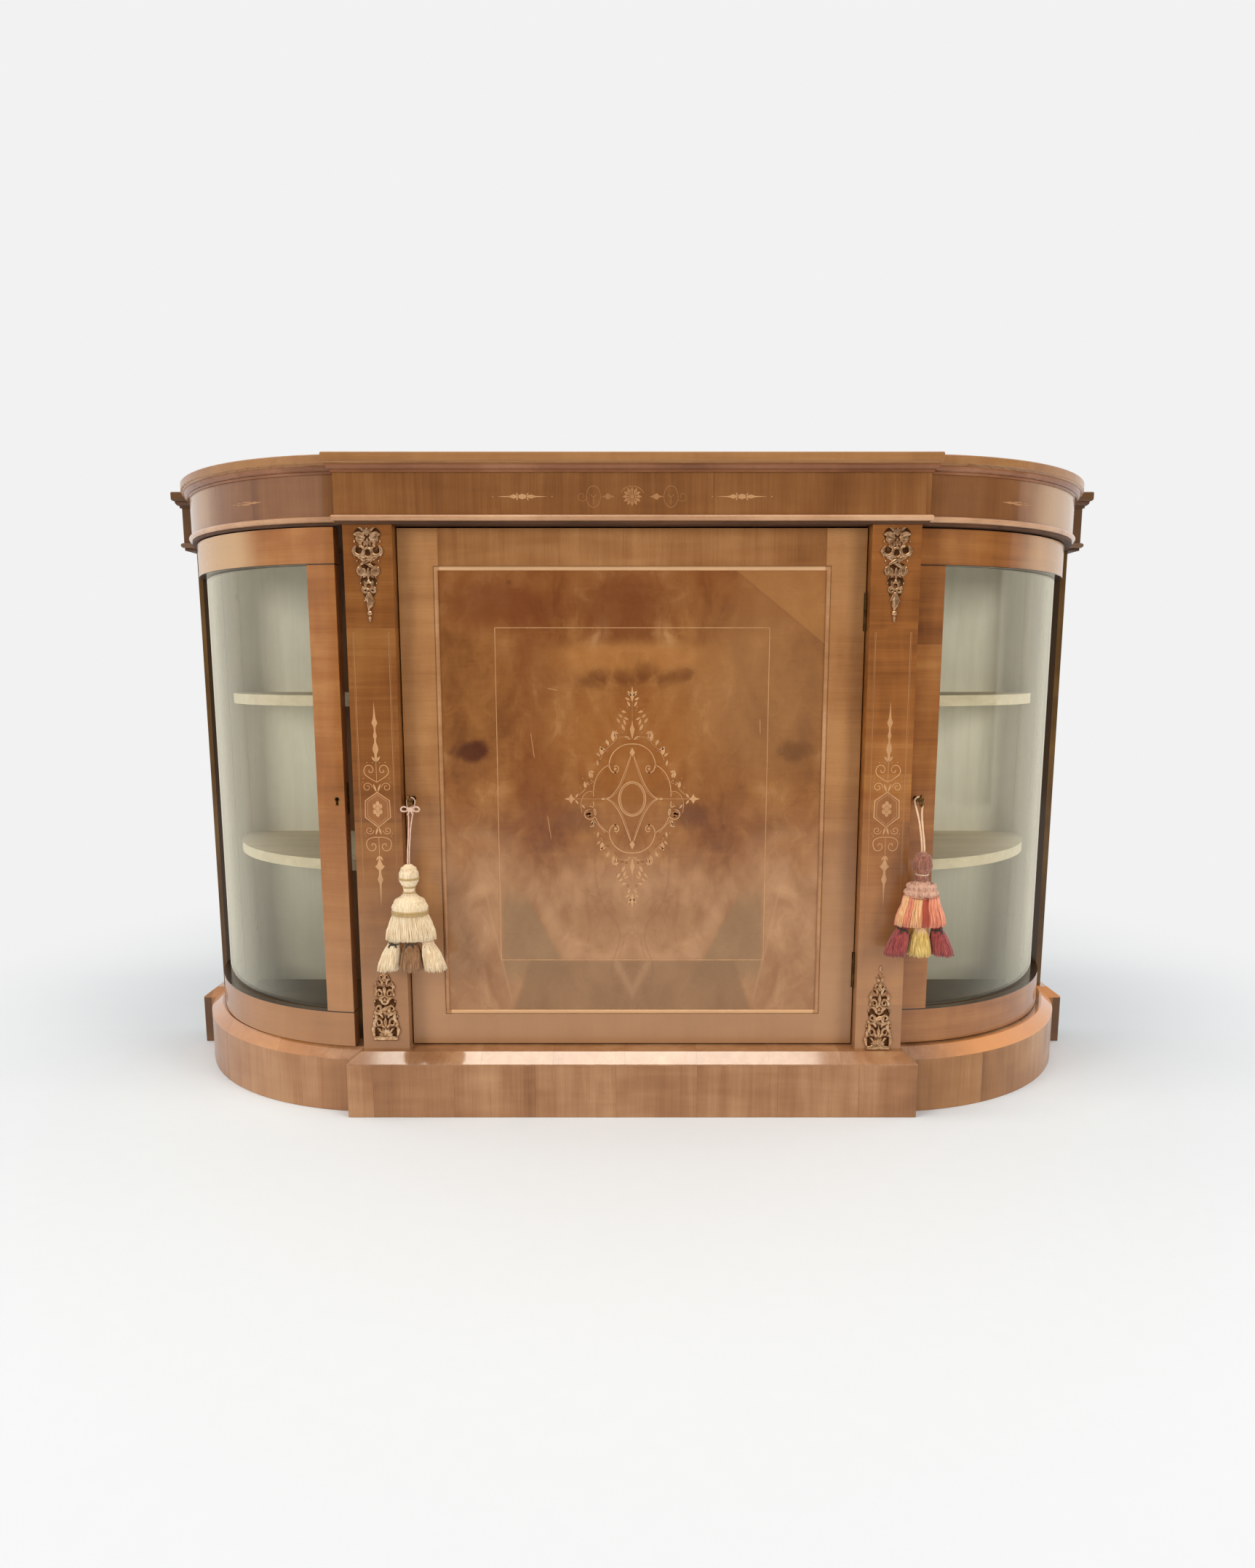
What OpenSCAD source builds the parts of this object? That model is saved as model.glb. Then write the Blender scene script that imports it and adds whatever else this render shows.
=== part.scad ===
// Breakfront credenza with two bow-glazed end cupboards. Millimetres, +Z up, front towards -Y.
// The origin is the middle of the case on the floor. Lengths named _y below are measured back
// from the plinth's front face, and in_frame() moves them into the part's own frame.

/* [Plan] */
// Radius of the faces of the curved doors, struck from the back plane
end_r = 387; // [375:1:400]
// Clear width between the two front pilasters
opening_w = 750; // [700:1:800]
// Width of a front pilaster
pilaster_w = 77; // [70:1:90]
// How far a curved end's centre lies inside the pilaster's outer side
tangent_in = 26; // [22:1:30]
// How far the pilasters stand in front of the door faces
case_break = 25; // [20:1:30]
// Depth of a rear corner post
post_d = 50; // [44:1:56]
// Width of a rear corner post
post_w = 61; // [56:1:66]
// How far a rear corner post stands out past the curved end
post_out = 18; // [14:1:22]

/* [Heights] */
// Height of the plinth's upright faces
plinth_face_h = 91; // [80:1:110]
// Thickness of the base board, whose splayed edge caps the plinth
base_t = 17; // [15:1:20]
// Height of the three doors
door_h = 852; // [800:1:900]
// Thickness of the board over the cupboards
top_board_t = 14; // [12:1:18]
// Height of the frieze
frieze_h = 63; // [55:1:75]
// Height of the moulding under the top
moulding_h = 11.5; // [11:0.5:14]
// Thickness of the top slab
slab_t = 16.5; // [14:0.5:20]

/* [Overhangs] */
// Plinth past the pilaster faces
plinth_front_over = 28; // [25:1:32]
// Plinth past the pilasters' outer sides
plinth_side_over = 23; // [20:1:26]
// Plinth past the curved door faces
plinth_end_over = 31; // [28:1:34]
// Plinth and top past the rear corner posts
ear_over = 30; // [26:1:34]
// Width of the splay round the plinth
plinth_splay = 20; // [14:1:22]
// Frieze past the pilaster faces
frieze_front_over = 4; // [3:1:8]
// Frieze past the pilasters' outer sides
frieze_side_over = 11; // [9:1:14]
// Frieze past the curved door faces
frieze_end_over = 13; // [11:1:16]
// Top slab past the frieze
slab_over = 14; // [12:1:18]
// Moulding past the frieze
moulding_over = 9; // [9:0.5:11]
// Radius of the half-round bead under the frieze
bead_r = 4.75; // [4:0.25:6]
// How far the top board's edge lies behind the frieze, where the bead is let in
bead_seat = 0.5; // [0.5:0.5:2]

/* [Boards] */
// Thickness of the plinth boards
plinth_t = 22; // [18:1:26]
// Thickness of the frieze boards
frieze_t = 20; // [16:1:24]
// Thickness of an inner upright
upright_t = 20; // [16:1:24]
// Thickness of the back panels
back_t = 8; // [6:1:12]
// How far the back panels lie in from the back plane
back_inset = 4; // [2:1:8]
// Thickness of a shelf
shelf_t = 18; // [15:1:22]
// Height of the lower end shelves' undersides
low_shelf_z = 402; // [380:1:430]
// Height of the upper end shelves' undersides
high_shelf_z = 681; // [640:1:720]
// Height of the centre shelf's underside
centre_shelf_z = 572; // [570:1:620]
// Room between a shelf's edge and the door before it
shelf_room = 18; // [12:1:30]
// Radius of a shelf peg
peg_r = 3; // [2.5:0.5:4]
// How far a shelf peg stands out
peg_out = 12; // [10:1:14]

/* [Doors] */
// Thickness of the doors
door_t = 24; // [24:1:28]
// Gap at the doors' upright edges
door_gap = 2; // [1.6:0.2:2.6]
// Gap above and below the doors
door_gap_z = 2.5; // [2:0.5:4]
// Width of the curved doors' stiles
end_stile_w = 47; // [46:1:54]
// Height of the curved doors' top rails
end_top_rail = 56.5; // [50:0.5:65]
// Height of the curved doors' bottom rails
end_low_rail = 59; // [52:0.5:66]
// Width of the centre door's stiles
stile_w = 64; // [58:1:72]
// Height of the centre door's top rail
top_rail = 66; // [60:1:72]
// Height of the centre door's bottom rail
low_rail = 60; // [54:1:72]
// Width of the rebates that hold glass and panel
rebate_w = 8; // [7:1:10]
// Thickness of the glass
glass_t = 4; // [3:0.5:5]
// How far the glass lies behind the door face
glass_in = 12; // [10:1:14]
// Thickness of the centre door's panel
panel_t = 12; // [10:1:14]
// How far the panel's face lies behind the frame's
panel_in = 1; // [0.5:0.5:2]
// Radius of the bead round the panel
panel_bead_r = 3.5; // [3:0.5:4]
// Angle at which the left door stands ajar
ajar = 2.6; // [1:0.1:5]

/* [Hinges] */
// Length of a butt hinge
hinge_l = 60; // [50:1:80]
// Width of a leaf, from the pin's axis
leaf_w = 20; // [16:1:21]
// Thickness of a leaf
leaf_t = 1.4; // [1.2:0.1:1.6]
// Radius of the knuckles
knuckle_r = 3.4; // [3:0.1:4]
// Radius of the pin
pin_r = 1.5; // [1.2:0.1:1.8]
// Distance of a hinge's middle from the end of its door
hinge_in = 130; // [90:1:200]

/* [Locks and keys] */
// Height of the keys above the floor
key_z = 532; // [500:1:540]
// Distance of a key from the edge of its door
backset = 13; // [12:1:14]
// Height of a lock case
lock_h = 52; // [46:1:60]
// How far a lock case reaches past the key, away from the edge
lock_back = 20; // [19:1:20]
// Depth of wood in front of a lock case
lock_in = 11; // [10:1:11]
// How far a bolt is thrown
bolt_throw = 7; // [6:0.5:7]
// Radius of a key's shank
shank_r = 2.5; // [2.2:0.1:3]
// Reach of a key's bit from the shank's axis
bit_r = 8.5; // [8:0.1:8.6]
// Length of the shank outside the door
shank_out = 26; // [24:1:30]
// Radius of the ring of a key's bow, to the middle of its wire
bow_r = 8.2; // [7:0.1:9]
// Height of a strike plate
strike_h = 80; // [50:1:90]

/* [Tassels] */
// Radius of the cream tassel's cord
cream_cord_r = 1.1; // [1:0.1:1.2]
// Radius of the coral tassel's cord
coral_cord_r = 1.7; // [1.6:0.1:1.8]
// Drop from the centre key to the cream tassel's head
cream_drop = 100; // [94:1:104]
// Drop from the right key to the coral tassel's head
coral_drop = 80; // [78:1:104]
// Least radius of a cord's loop over the shank of a key
loop_r = 6.6; // [5:0.2:7]
// Length of the cream tassel, from the top of its head to its lowest tips
cream_l = 176; // [166:1:187]
// Length of the coral tassel
coral_l = 171; // [164:1:187]
// Radius of a tassel's head
head_r = 16; // [15:0.5:18]
// Half depth of a tassel's skirt, which is fuller across than from front to back
tassel_half_d = 24; // [20:1:26]

/* [Gilt mounts] */
// Thickness of the pierced mounts
mount_t = 5; // [3:0.5:6]
// Height of the upper mounts
high_mount_h = 148; // [120:1:160]
// Height of the lower mounts
low_mount_h = 148; // [120:1:160]
// How much higher the left lower mount is fixed than the right one
left_mount_lift = 17; // [0:1:20]
// Width of the mounts
gilt_w = 43; // [38:1:50]

/* [Hidden] */
// Space left between pieces that are put together
fit = 0.3;
// Space round a shaft that turns
running = 0.05;
// A length past every size of the case, for cuts
far = 4000;

wood = [0.55, 0.34, 0.19];
dark_wood = [0.36, 0.22, 0.13];
pale = [0.80, 0.80, 0.72];
brass = [0.72, 0.56, 0.30];
gilt = [0.80, 0.66, 0.42];
cream = [0.93, 0.83, 0.68];
coral = [0.90, 0.58, 0.44];

// Plan
door_y = case_break + plinth_front_over;
case_d = door_y + end_r;
pil_y = plinth_front_over;
pil_x0 = opening_w / 2;
pil_x1 = pil_x0 + pilaster_w;
pil_t = case_break + door_t + 3;
end_cx = pil_x1 - tangent_in;
post_x1 = end_cx + end_r + post_out;
post_x0 = post_x1 - post_w;
post_y = case_d - post_d;
upright_x0 = pil_x0 + (pilaster_w - upright_t) / 2;
upright_x1 = upright_x0 + upright_t;
back_y1 = case_d - back_inset;
back_y0 = back_y1 - back_t;
plinth_x = pil_x1 + plinth_side_over;
frieze_x = pil_x1 + frieze_side_over;
frieze_y = pil_y - frieze_front_over;
frieze_r = end_r + frieze_end_over;
// The slab's ears stand as far out as the plinth's
frieze_ear = ear_over - slab_over;

// Heights
floor_z = plinth_face_h + base_t;
door_z = floor_z + door_gap_z;
door_top = door_z + door_h;
ceiling_z = door_top + door_gap_z;
frieze_z = ceiling_z + top_board_t;
moulding_z = frieze_z + frieze_h;
slab_z = moulding_z + moulding_h;
hinge_zs = [door_z + hinge_in, door_top - hinge_in];
upright_h = ceiling_z - floor_z;

// Curved doors
end_edge_x = pil_x1 + door_gap;
end_edge_y = post_y - door_gap;
end_face_x = end_cx + sqrt(pow(end_r, 2) - pow(case_d - end_edge_y, 2));
inner_r = end_r - door_t;
glass_r = end_r - glass_in;
front_a = acos((end_edge_x + end_stile_w - end_cx) / end_r);
rear_a = asin((case_d - end_edge_y + end_stile_w) / end_r);
rebate_a = rebate_w / end_r * 180 / PI;
shelf_r = inner_r - shelf_room;

// Centre door
door_x = pil_x0 - door_gap;
panel_x = door_x - stile_w;
panel_z0 = door_z + low_rail;
panel_z1 = door_top - top_rail;

// Hinge axes
knuckle_proud = 1;
centre_axis = [pil_x0 - door_gap / 2, door_y - knuckle_proud];
end_axis = [end_face_x + knuckle_proud, post_y - door_gap / 2];

// Locks: x of each key, and the y of the door face in front of it
centre_key_x = backset - door_x;
end_key_x = end_edge_x + backset;
end_key_y = case_d - sqrt(pow(end_r, 2) - pow(end_key_x - end_cx, 2));
plate_t = 1.2;
edge_plate_t = 2;
bolt_y0 = lock_in + 2;
bolt_w = 8;
bolt_z0 = 4.5;
bolt_h = 9;
bolt_back = lock_back - 3;
notch_u0 = -13.8;
notch_u1 = -4.8;
strike_w = 14;
bow_wire = 1.8;
collar_r = 4;
bow_y = -shank_out - bow_r - bow_wire;

// Tassels: where the cord lies on the shank, and where the head hangs
cord_y = -(shank_out - 4);
tassel_y = pil_y - mount_t - 1 - tassel_half_d;

// Moves lengths measured from the plinth's front face into the part's frame
module in_frame() translate([0, -case_d / 2, 0]) children();

// The same piece on the other side of the case
module left_side() mirror([1, 0, 0]) children();

// The left door's pieces: the right door's, mirrored, and turned ajar about its hinge
module left_door_place()
    translate([-end_axis[0], end_axis[1], 0]) rotate([0, 0, -ajar])
        translate([end_axis[0], -end_axis[1], 0]) mirror([1, 0, 0]) children();

// Sweeps an edge profile, drawn with its outermost point at x = 0, round a curved end.
// The angles run from the back plane, 0, to the front, 90.
module end_turn(r, a0, a1)
    translate([end_cx, case_d, 0]) rotate([0, 0, -a1]) rotate_extrude(angle = a1 - a0, $fn = 144)
        intersection() {
            translate([r, 0]) children();
            translate([0, -far / 2]) square([far, far]);
        }

// A part of the ring that a curved door lies in
module end_sector(r0, r1, a0, a1, z, h)
    end_turn(r1, a0, a1) translate([r0 - r1, z]) square([r1 - r0, h]);

// A block whose front and outer side both carry an edge profile, mitred at the corner
module moulded_corner(x0, x1, y0)
    intersection() {
        translate([x0, y0, 0]) rotate([90, 0, 90]) linear_extrude(x1 - x0) mirror([1, 0]) children();
        translate([x1, case_d, 0]) rotate([90, 0, 0]) linear_extrude(case_d - y0)
            intersection() {
                children();
                translate([x0 - x1, -far / 2]) square([far, far]);
            }
    }

// The whole outline of the case as a moulded plate: breakfront, curved ends and rear ears.
// The four numbers are its overhangs past the pilaster faces, their sides, the curved door
// faces and the rear posts.
module moulded_plate(front, side, end, ear) {
    x = pil_x1 + side;
    y = pil_y - front;
    intersection() {
        translate([-x, y, 0]) rotate([90, 0, 90]) linear_extrude(2 * x) mirror([1, 0]) children();
        translate([0, case_d, 0]) rotate([90, 0, 0]) linear_extrude(case_d - y)
            intersection() {
                translate([x, 0]) children();
                mirror([1, 0]) translate([x, 0]) children();
            }
    }
    for (s = [0, 1]) mirror([s, 0, 0]) {
        end_turn(end_r + end, 0, 90) children();
        moulded_corner(end_cx, post_x1 + ear, post_y - ear) children();
    }
}

// The same outline, flat
module case_plan(front, side, end, ear) {
    x = pil_x1 + side;
    y = pil_y - front;
    translate([-x, y]) square([2 * x, case_d - y]);
    for (s = [0, 1]) mirror([s, 0]) {
        intersection() {
            translate([end_cx, case_d]) circle(r = end_r + end, $fn = 144);
            translate([end_cx, 0]) square([far, case_d]);
        }
        translate([end_cx, post_y - ear])
            square([post_x1 + ear - end_cx, case_d - post_y + ear]);
    }
}

// Boards that stand on edge round a curved end, with the block of the rear ear
module end_board(r, t, x_min, ear, h) {
    intersection() {
        end_sector(r - t, r, 0, 90, 0, h);
        translate([x_min, 0, 0]) cube([far, post_y - ear, h]);
    }
    translate([post_x0 - t, post_y - ear, 0]) cube([post_x1 + ear - post_x0 + t, post_d + ear, h]);
}

// A board across the front of the break, with its two short returns
module front_board(x, y, t, r, h) {
    translate([-x, y, 0]) cube([2 * x, t, h]);
    return_y = case_d - sqrt(pow(r - t, 2) - pow(x - end_cx, 2));
    for (s = [0, 1]) mirror([s, 0, 0])
        translate([x - t, y + t, 0]) cube([t, return_y - y - t, h]);
}

// Plinth and base
module plinth_front() color(wood) in_frame()
    front_board(plinth_x, 0, plinth_t, end_r + plinth_end_over, plinth_face_h);

module plinth_end() in_frame()
    end_board(end_r + plinth_end_over, plinth_t, plinth_x, ear_over, plinth_face_h);

module plinth_end_right() color(wood) plinth_end();

module plinth_end_left() color(wood) left_side() plinth_end();

module plinth_back() color(dark_wood) in_frame()
    translate([plinth_t - post_x0, case_d - plinth_t, 0])
        cube([2 * (post_x0 - plinth_t), plinth_t, plinth_face_h]);

// Edge of the base board: a narrow upright face under the splay
module splayed_edge() {
    lip = 2;
    polygon([[-far, 0], [0, 0], [0, lip], [-plinth_splay, base_t], [-far, base_t]]);
}

module base_board() color(wood) in_frame() translate([0, 0, plinth_face_h])
    moulded_plate(plinth_front_over, plinth_side_over, plinth_end_over, ear_over) splayed_edge();

// Uprights, pilasters and posts
peg_depth = 8;
peg_y_front = 130;
peg_y_back = back_y0 - 33;
end_shelf_zs = [low_shelf_z, high_shelf_z];

// Every peg, as [x of the face it stands on, y, z, direction], on the right half
pegs = [
    for (z = end_shelf_zs) each [
        [upright_x1, peg_y_front, z, 1],
        [upright_x1, peg_y_back, z, 1],
        [post_x0, post_y + post_d / 2, z, -1]
    ],
    [upright_x0, peg_y_front, centre_shelf_z, -1],
    [upright_x0, peg_y_back, centre_shelf_z, -1]
];

// A peg's cylinder, its top just under the shelf
module peg_shape(p, r)
    translate([p[0] - p[3] * peg_depth, p[1], p[2] - peg_r - 0.1]) rotate([0, 90 * p[3], 0])
        cylinder(r = r, h = peg_depth + peg_out, $fn = 32);

module peg_holes() for (p = pegs) peg_shape(p, peg_r + running);

module upright() difference() {
    translate([upright_x0, pil_y + pil_t, floor_z])
        cube([upright_t, case_d - pil_y - pil_t, upright_h]);
    peg_holes();
}

module upright_right() color(dark_wood) in_frame() upright();

module upright_left() color(dark_wood) left_side() in_frame() upright();

module front_pilaster() translate([pil_x0, pil_y, floor_z]) cube([pilaster_w, pil_t, upright_h]);

module front_pilaster_right() color(wood) in_frame() difference() {
    front_pilaster();
    centre_hinge_seats();
    end_strike_place() strike_pocket();
}

module front_pilaster_left() color(wood) in_frame() difference() {
    left_side() front_pilaster();
    centre_strike_place() strike_pocket();
    left_side() end_strike_place() strike_pocket();
}

module rear_post() in_frame() difference() {
    translate([post_x0, post_y, floor_z]) cube([post_w, post_d, upright_h]);
    end_hinge_seats();
    peg_holes();
}

module rear_post_right() color(wood) rear_post();

module rear_post_left() color(wood) left_side() rear_post();

// Back panels
module back_panel_centre() color(dark_wood) in_frame()
    translate([fit - upright_x0, back_y0, floor_z])
        cube([2 * (upright_x0 - fit), back_t, upright_h]);

module end_back() in_frame() translate([upright_x1 + fit, back_y0, floor_z])
    cube([post_x0 - upright_x1 - 2 * fit, back_t, upright_h]);

module back_panel_right() color(pale) end_back();

module back_panel_left() color(pale) left_side() end_back();

// Top of the case
module top_board_plan() case_plan(frieze_front_over - bead_seat, frieze_side_over - bead_seat,
    frieze_end_over - bead_seat, frieze_ear - bead_seat);

module top_board() color(dark_wood) in_frame() translate([0, 0, ceiling_z])
    linear_extrude(top_board_t) top_board_plan();

module frieze_front() color(wood) in_frame() translate([0, 0, frieze_z])
    front_board(frieze_x, frieze_y, frieze_t, frieze_r, frieze_h);

module frieze_end() in_frame() translate([0, 0, frieze_z])
    end_board(frieze_r, frieze_t, frieze_x, frieze_ear, frieze_h);

module frieze_end_right() color(wood) frieze_end();

module frieze_end_left() color(wood) left_side() frieze_end();

module frieze_back() color(dark_wood) in_frame()
    translate([frieze_t - post_x0, case_d - frieze_t, frieze_z])
        cube([2 * (post_x0 - frieze_t), frieze_t, frieze_h]);

// Half-round bead along the lower edge of the frieze, in front of the top board's edge
module round_edge() {
    translate([-far, 0]) square([far - bead_r, 2 * bead_r]);
    translate([-bead_r, bead_r]) circle(r = bead_r, $fn = 48);
}

module frieze_bead() color(wood) in_frame() translate([0, 0, frieze_z - 2 * bead_r]) difference() {
    moulded_plate(frieze_front_over + bead_r, frieze_side_over + bead_r,
        frieze_end_over + bead_r, frieze_ear + bead_r) round_edge();
    translate([0, 0, -1]) linear_extrude(2 * bead_r + 2) top_board_plan();
}

// Ovolo over a small fillet
module ovolo_edge() {
    r = moulding_over - 2;
    fillet_h = moulding_h - r - 1;
    translate([-far, 0]) square([far - r, moulding_h]);
    translate([-r, moulding_h - 1]) intersection() {
        circle(r = r, $fn = 48);
        translate([0, -r]) square([r, r]);
    }
    translate([-r, moulding_h - 1]) square([r, 1]);
    translate([-r, 0]) square([1, fillet_h]);
}

module top_moulding() color(wood) in_frame() translate([0, 0, moulding_z]) difference() {
    moulded_plate(frieze_front_over + moulding_over, frieze_side_over + moulding_over,
        frieze_end_over + moulding_over, frieze_ear + moulding_over) ovolo_edge();
    translate([0, 0, -1]) linear_extrude(moulding_h + 2)
        case_plan(frieze_front_over - frieze_t, frieze_side_over - frieze_t,
            frieze_end_over - frieze_t, frieze_ear - frieze_t);
}

// Edge of the slab: a small arris on top and a quarter round beneath
module slab_edge() {
    r = 4.5;
    arris = 1.5;
    difference() {
        polygon([[-far, 0], [0, 0], [0, slab_t - arris], [-arris, slab_t], [-far, slab_t]]);
        difference() {
            translate([-r, 0]) square([r + 1, r]);
            translate([-r, r]) circle(r = r, $fn = 48);
        }
    }
}

module top_slab() color(wood) in_frame() translate([0, 0, slab_z])
    moulded_plate(frieze_front_over + slab_over, frieze_side_over + slab_over,
        frieze_end_over + slab_over, frieze_ear + slab_over) slab_edge();

// Shelves
module end_shelf(z) in_frame() translate([0, 0, z]) linear_extrude(shelf_t) intersection() {
    translate([end_cx, case_d]) circle(r = shelf_r, $fn = 144);
    translate([upright_x1 + fit, 0])
        square([post_x0 - upright_x1 - 2 * fit, back_y0 - fit]);
}

module shelf_right_lower() color(cream) end_shelf(low_shelf_z);

module shelf_right_upper() color(cream) end_shelf(high_shelf_z);

module shelf_left_lower() color(cream) left_side() end_shelf(low_shelf_z);

module shelf_left_upper() color(cream) left_side() end_shelf(high_shelf_z);

module centre_shelf() color(dark_wood) in_frame() {
    y = door_y + door_t + shelf_room;
    translate([fit - upright_x0, y, centre_shelf_z])
        cube([2 * (upright_x0 - fit), back_y0 - fit - y, shelf_t]);
}

module shelf_pegs() color(brass) in_frame() for (s = [0, 1]) mirror([s, 0, 0])
    for (p = pegs) peg_shape(p, peg_r);

// Blocks under the top board that the doors close against
module door_stops() color(dark_wood) in_frame() {
    stop_l = 40;
    stop_t = 12;
    stop_h = 15;
    for (s = [0, 1]) mirror([s, 0, 0]) {
        translate([panel_x - stop_l, door_y + door_t + fit, ceiling_z - stop_h])
            cube([stop_l, stop_t, stop_h]);
        end_sector(inner_r - fit - stop_t, inner_r - fit, 55, 61, ceiling_z - stop_h, stop_h);
    }
}

// Butt hinge, drawn about its pin: x runs from the door to the case, y into the case
knuckles = 5;
knuckle_gap = 0.4;
knuckle_l = (hinge_l + knuckle_gap) / knuckles - knuckle_gap;
leaf_gap = 0.2;

module hinge_leaf(first, side) {
    for (i = [first : 2 : knuckles - 1])
        translate([0, 0, -hinge_l / 2 + i * (knuckle_l + knuckle_gap)]) difference() {
            union() {
                cylinder(r = knuckle_r, h = knuckle_l, $fn = 48);
                mirror([side, 0, 0]) translate([leaf_gap, 0, 0])
                    cube([leaf_t, knuckle_r + 1, knuckle_l]);
            }
            translate([0, 0, -1])
                cylinder(r = pin_r + running, h = knuckle_l + 2, $fn = 48);
        }
    mirror([side, 0, 0]) translate([leaf_gap, knuckle_r + fit, -hinge_l / 2])
        cube([leaf_t, leaf_w - knuckle_r - fit, hinge_l]);
}

// Room in the wood for the knuckles and for both leaves
module hinge_seat() {
    cylinder(r = knuckle_r + fit, h = hinge_l + 2 * fit, center = true, $fn = 48);
    translate([-leaf_gap - leaf_t, 0, -hinge_l / 2])
        cube([2 * (leaf_gap + leaf_t), leaf_w, hinge_l]);
}

module centre_hinges() for (z = hinge_zs) translate([centre_axis[0], centre_axis[1], z]) children();

module end_hinges()
    for (z = hinge_zs) translate([end_axis[0], end_axis[1], z]) rotate([0, 0, 90]) children();

module centre_hinge_seats() centre_hinges() hinge_seat();

module end_hinge_seats() end_hinges() hinge_seat();

module case_hinge_leaves() color(brass) in_frame() {
    centre_hinges() hinge_leaf(0, 0);
    end_hinges() hinge_leaf(0, 0);
    left_side() end_hinges() hinge_leaf(0, 0);
}

module hinge_pin() cylinder(r = pin_r, h = hinge_l, center = true, $fn = 32);

module hinge_pins() color(brass) in_frame() {
    centre_hinges() hinge_pin();
    end_hinges() hinge_pin();
    left_side() end_hinges() hinge_pin();
}

module centre_door_hinge_leaves() color(brass) in_frame() centre_hinges() hinge_leaf(1, 1);

module right_door_hinge_leaves() color(brass) in_frame() end_hinges() hinge_leaf(1, 1);

module left_door_hinge_leaves() color(brass) in_frame() left_door_place()
    end_hinges() hinge_leaf(1, 1);

// Lock, drawn from the key's axis on the door face: x towards the door's edge, y into the door
module centre_lock_place() translate([centre_key_x, door_y, key_z]) mirror([1, 0, 0]) children();

module end_lock_place() translate([end_key_x, end_key_y, key_z]) mirror([1, 0, 0]) children();

module keyhole(r, half_w, drop, y0, y1) {
    translate([0, y0, 0]) rotate([-90, 0, 0]) cylinder(r = r, h = y1 - y0, $fn = 32);
    translate([-half_w, y0, -drop]) cube([2 * half_w, y1 - y0, drop]);
}

// Room in a stile for the lock case, with the keyhole through the wood before it
module lock_pocket() {
    translate([-lock_back - fit, lock_in - fit, -lock_h / 2 - fit])
        cube([lock_back + backset + fit + 1, door_t, lock_h + 2 * fit]);
    keyhole(shank_r + 0.7, 1.7, bit_r + 1, -5, lock_in + 1);
}

module lock_case() {
    case_l = lock_back + backset;
    inner_y0 = lock_in + plate_t;
    inner_y1 = door_t - 1.5;
    difference() {
        translate([-lock_back, lock_in, -lock_h / 2]) cube([case_l, door_t - lock_in, lock_h]);
        translate([-lock_back + plate_t, inner_y0, plate_t - lock_h / 2])
            cube([case_l - plate_t - edge_plate_t, inner_y1 - inner_y0, lock_h - 2 * plate_t]);
        keyhole(shank_r + 0.5, 1.4, bit_r + 0.6, lock_in - 1, inner_y0 + 0.5);
        translate([0, door_t - 3, 0]) rotate([-90, 0, 0])
            cylinder(r = shank_r + running, h = 6, $fn = 32);
        translate([backset - edge_plate_t - 1, bolt_y0 - 0.1, bolt_z0 - 0.1])
            cube([edge_plate_t + 2, bolt_w + 0.2, bolt_h + 0.2]);
    }
}

// The bolt, drawn back into the lock. The bit turns up into its notch and carries it out.
module lock_bolt() difference() {
    translate([-bolt_back, bolt_y0, bolt_z0]) cube([bolt_back + backset - 0.2, bolt_w, bolt_h]);
    translate([notch_u0, bolt_y0 - 1, bolt_z0 - 1])
        cube([notch_u1 - notch_u0, bolt_w + 2, bit_r + 0.6 - bolt_z0 + 1]);
}

module key() {
    rotate([-90, 0, 0]) translate([0, 0, -shank_out])
        cylinder(r = shank_r, h = shank_out + door_t - 0.4, $fn = 32);
    translate([-1, bolt_y0 + 0.3, -bit_r]) difference() {
        cube([2, bolt_w - 1, bit_r - shank_r / 2]);
        translate([-1, bolt_w / 2 - 1, -1]) cube([4, 1.2, 4]);
    }
    translate([0, -shank_out, 0]) rotate([90, 0, 0]) cylinder(r = collar_r, h = 2, $fn = 32);
    translate([0, -shank_out + 2.5, 0]) rotate([90, 0, 0])
        cylinder(r = collar_r - 0.8, h = 1, $fn = 32);
    translate([0, bow_y, 0]) rotate([0, 90, 0]) rotate_extrude($fn = 48)
        translate([bow_r, 0]) circle(r = bow_wire, $fn = 24);
}

module centre_lock_case() color(brass) in_frame() centre_lock_place() lock_case();

module centre_lock_bolt() color(brass) in_frame() centre_lock_place() lock_bolt();

module centre_key() color(brass) in_frame() centre_lock_place() key();

module right_lock_case() color(brass) in_frame() end_lock_place() lock_case();

module right_lock_bolt() color(brass) in_frame() end_lock_place() lock_bolt();

module right_key() color(brass) in_frame() end_lock_place() key();

module left_lock_case() color(brass) in_frame() left_door_place() end_lock_place() lock_case();

module left_lock_bolt() color(brass) in_frame() left_door_place() end_lock_place() lock_bolt();

// Strike, drawn on the jamb at the level of the key: x into the jamb, y as for the lock
module centre_strike_place() translate([-pil_x0, door_y, key_z]) mirror([1, 0, 0]) children();

module end_strike_place() translate([pil_x1, end_key_y, key_z]) mirror([1, 0, 0]) children();

strike_y = bolt_y0 + bolt_w / 2 - strike_w / 2;

module strike_hole(depth)
    translate([-1, bolt_y0 - 0.6, bolt_z0 - 0.6]) cube([depth + 1, bolt_w + 1.2, bolt_h + 1.2]);

module strike_pocket() {
    translate([-1, strike_y, -strike_h / 2]) cube([1 + plate_t, strike_w, strike_h]);
    strike_hole(bolt_throw + 3);
}

module strike_plate() difference() {
    translate([0, strike_y, -strike_h / 2]) cube([plate_t, strike_w, strike_h]);
    strike_hole(bolt_throw + 3);
}

module strike_plates() color(brass) in_frame() {
    centre_strike_place() strike_plate();
    end_strike_place() strike_plate();
    left_side() end_strike_place() strike_plate();
}

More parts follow.
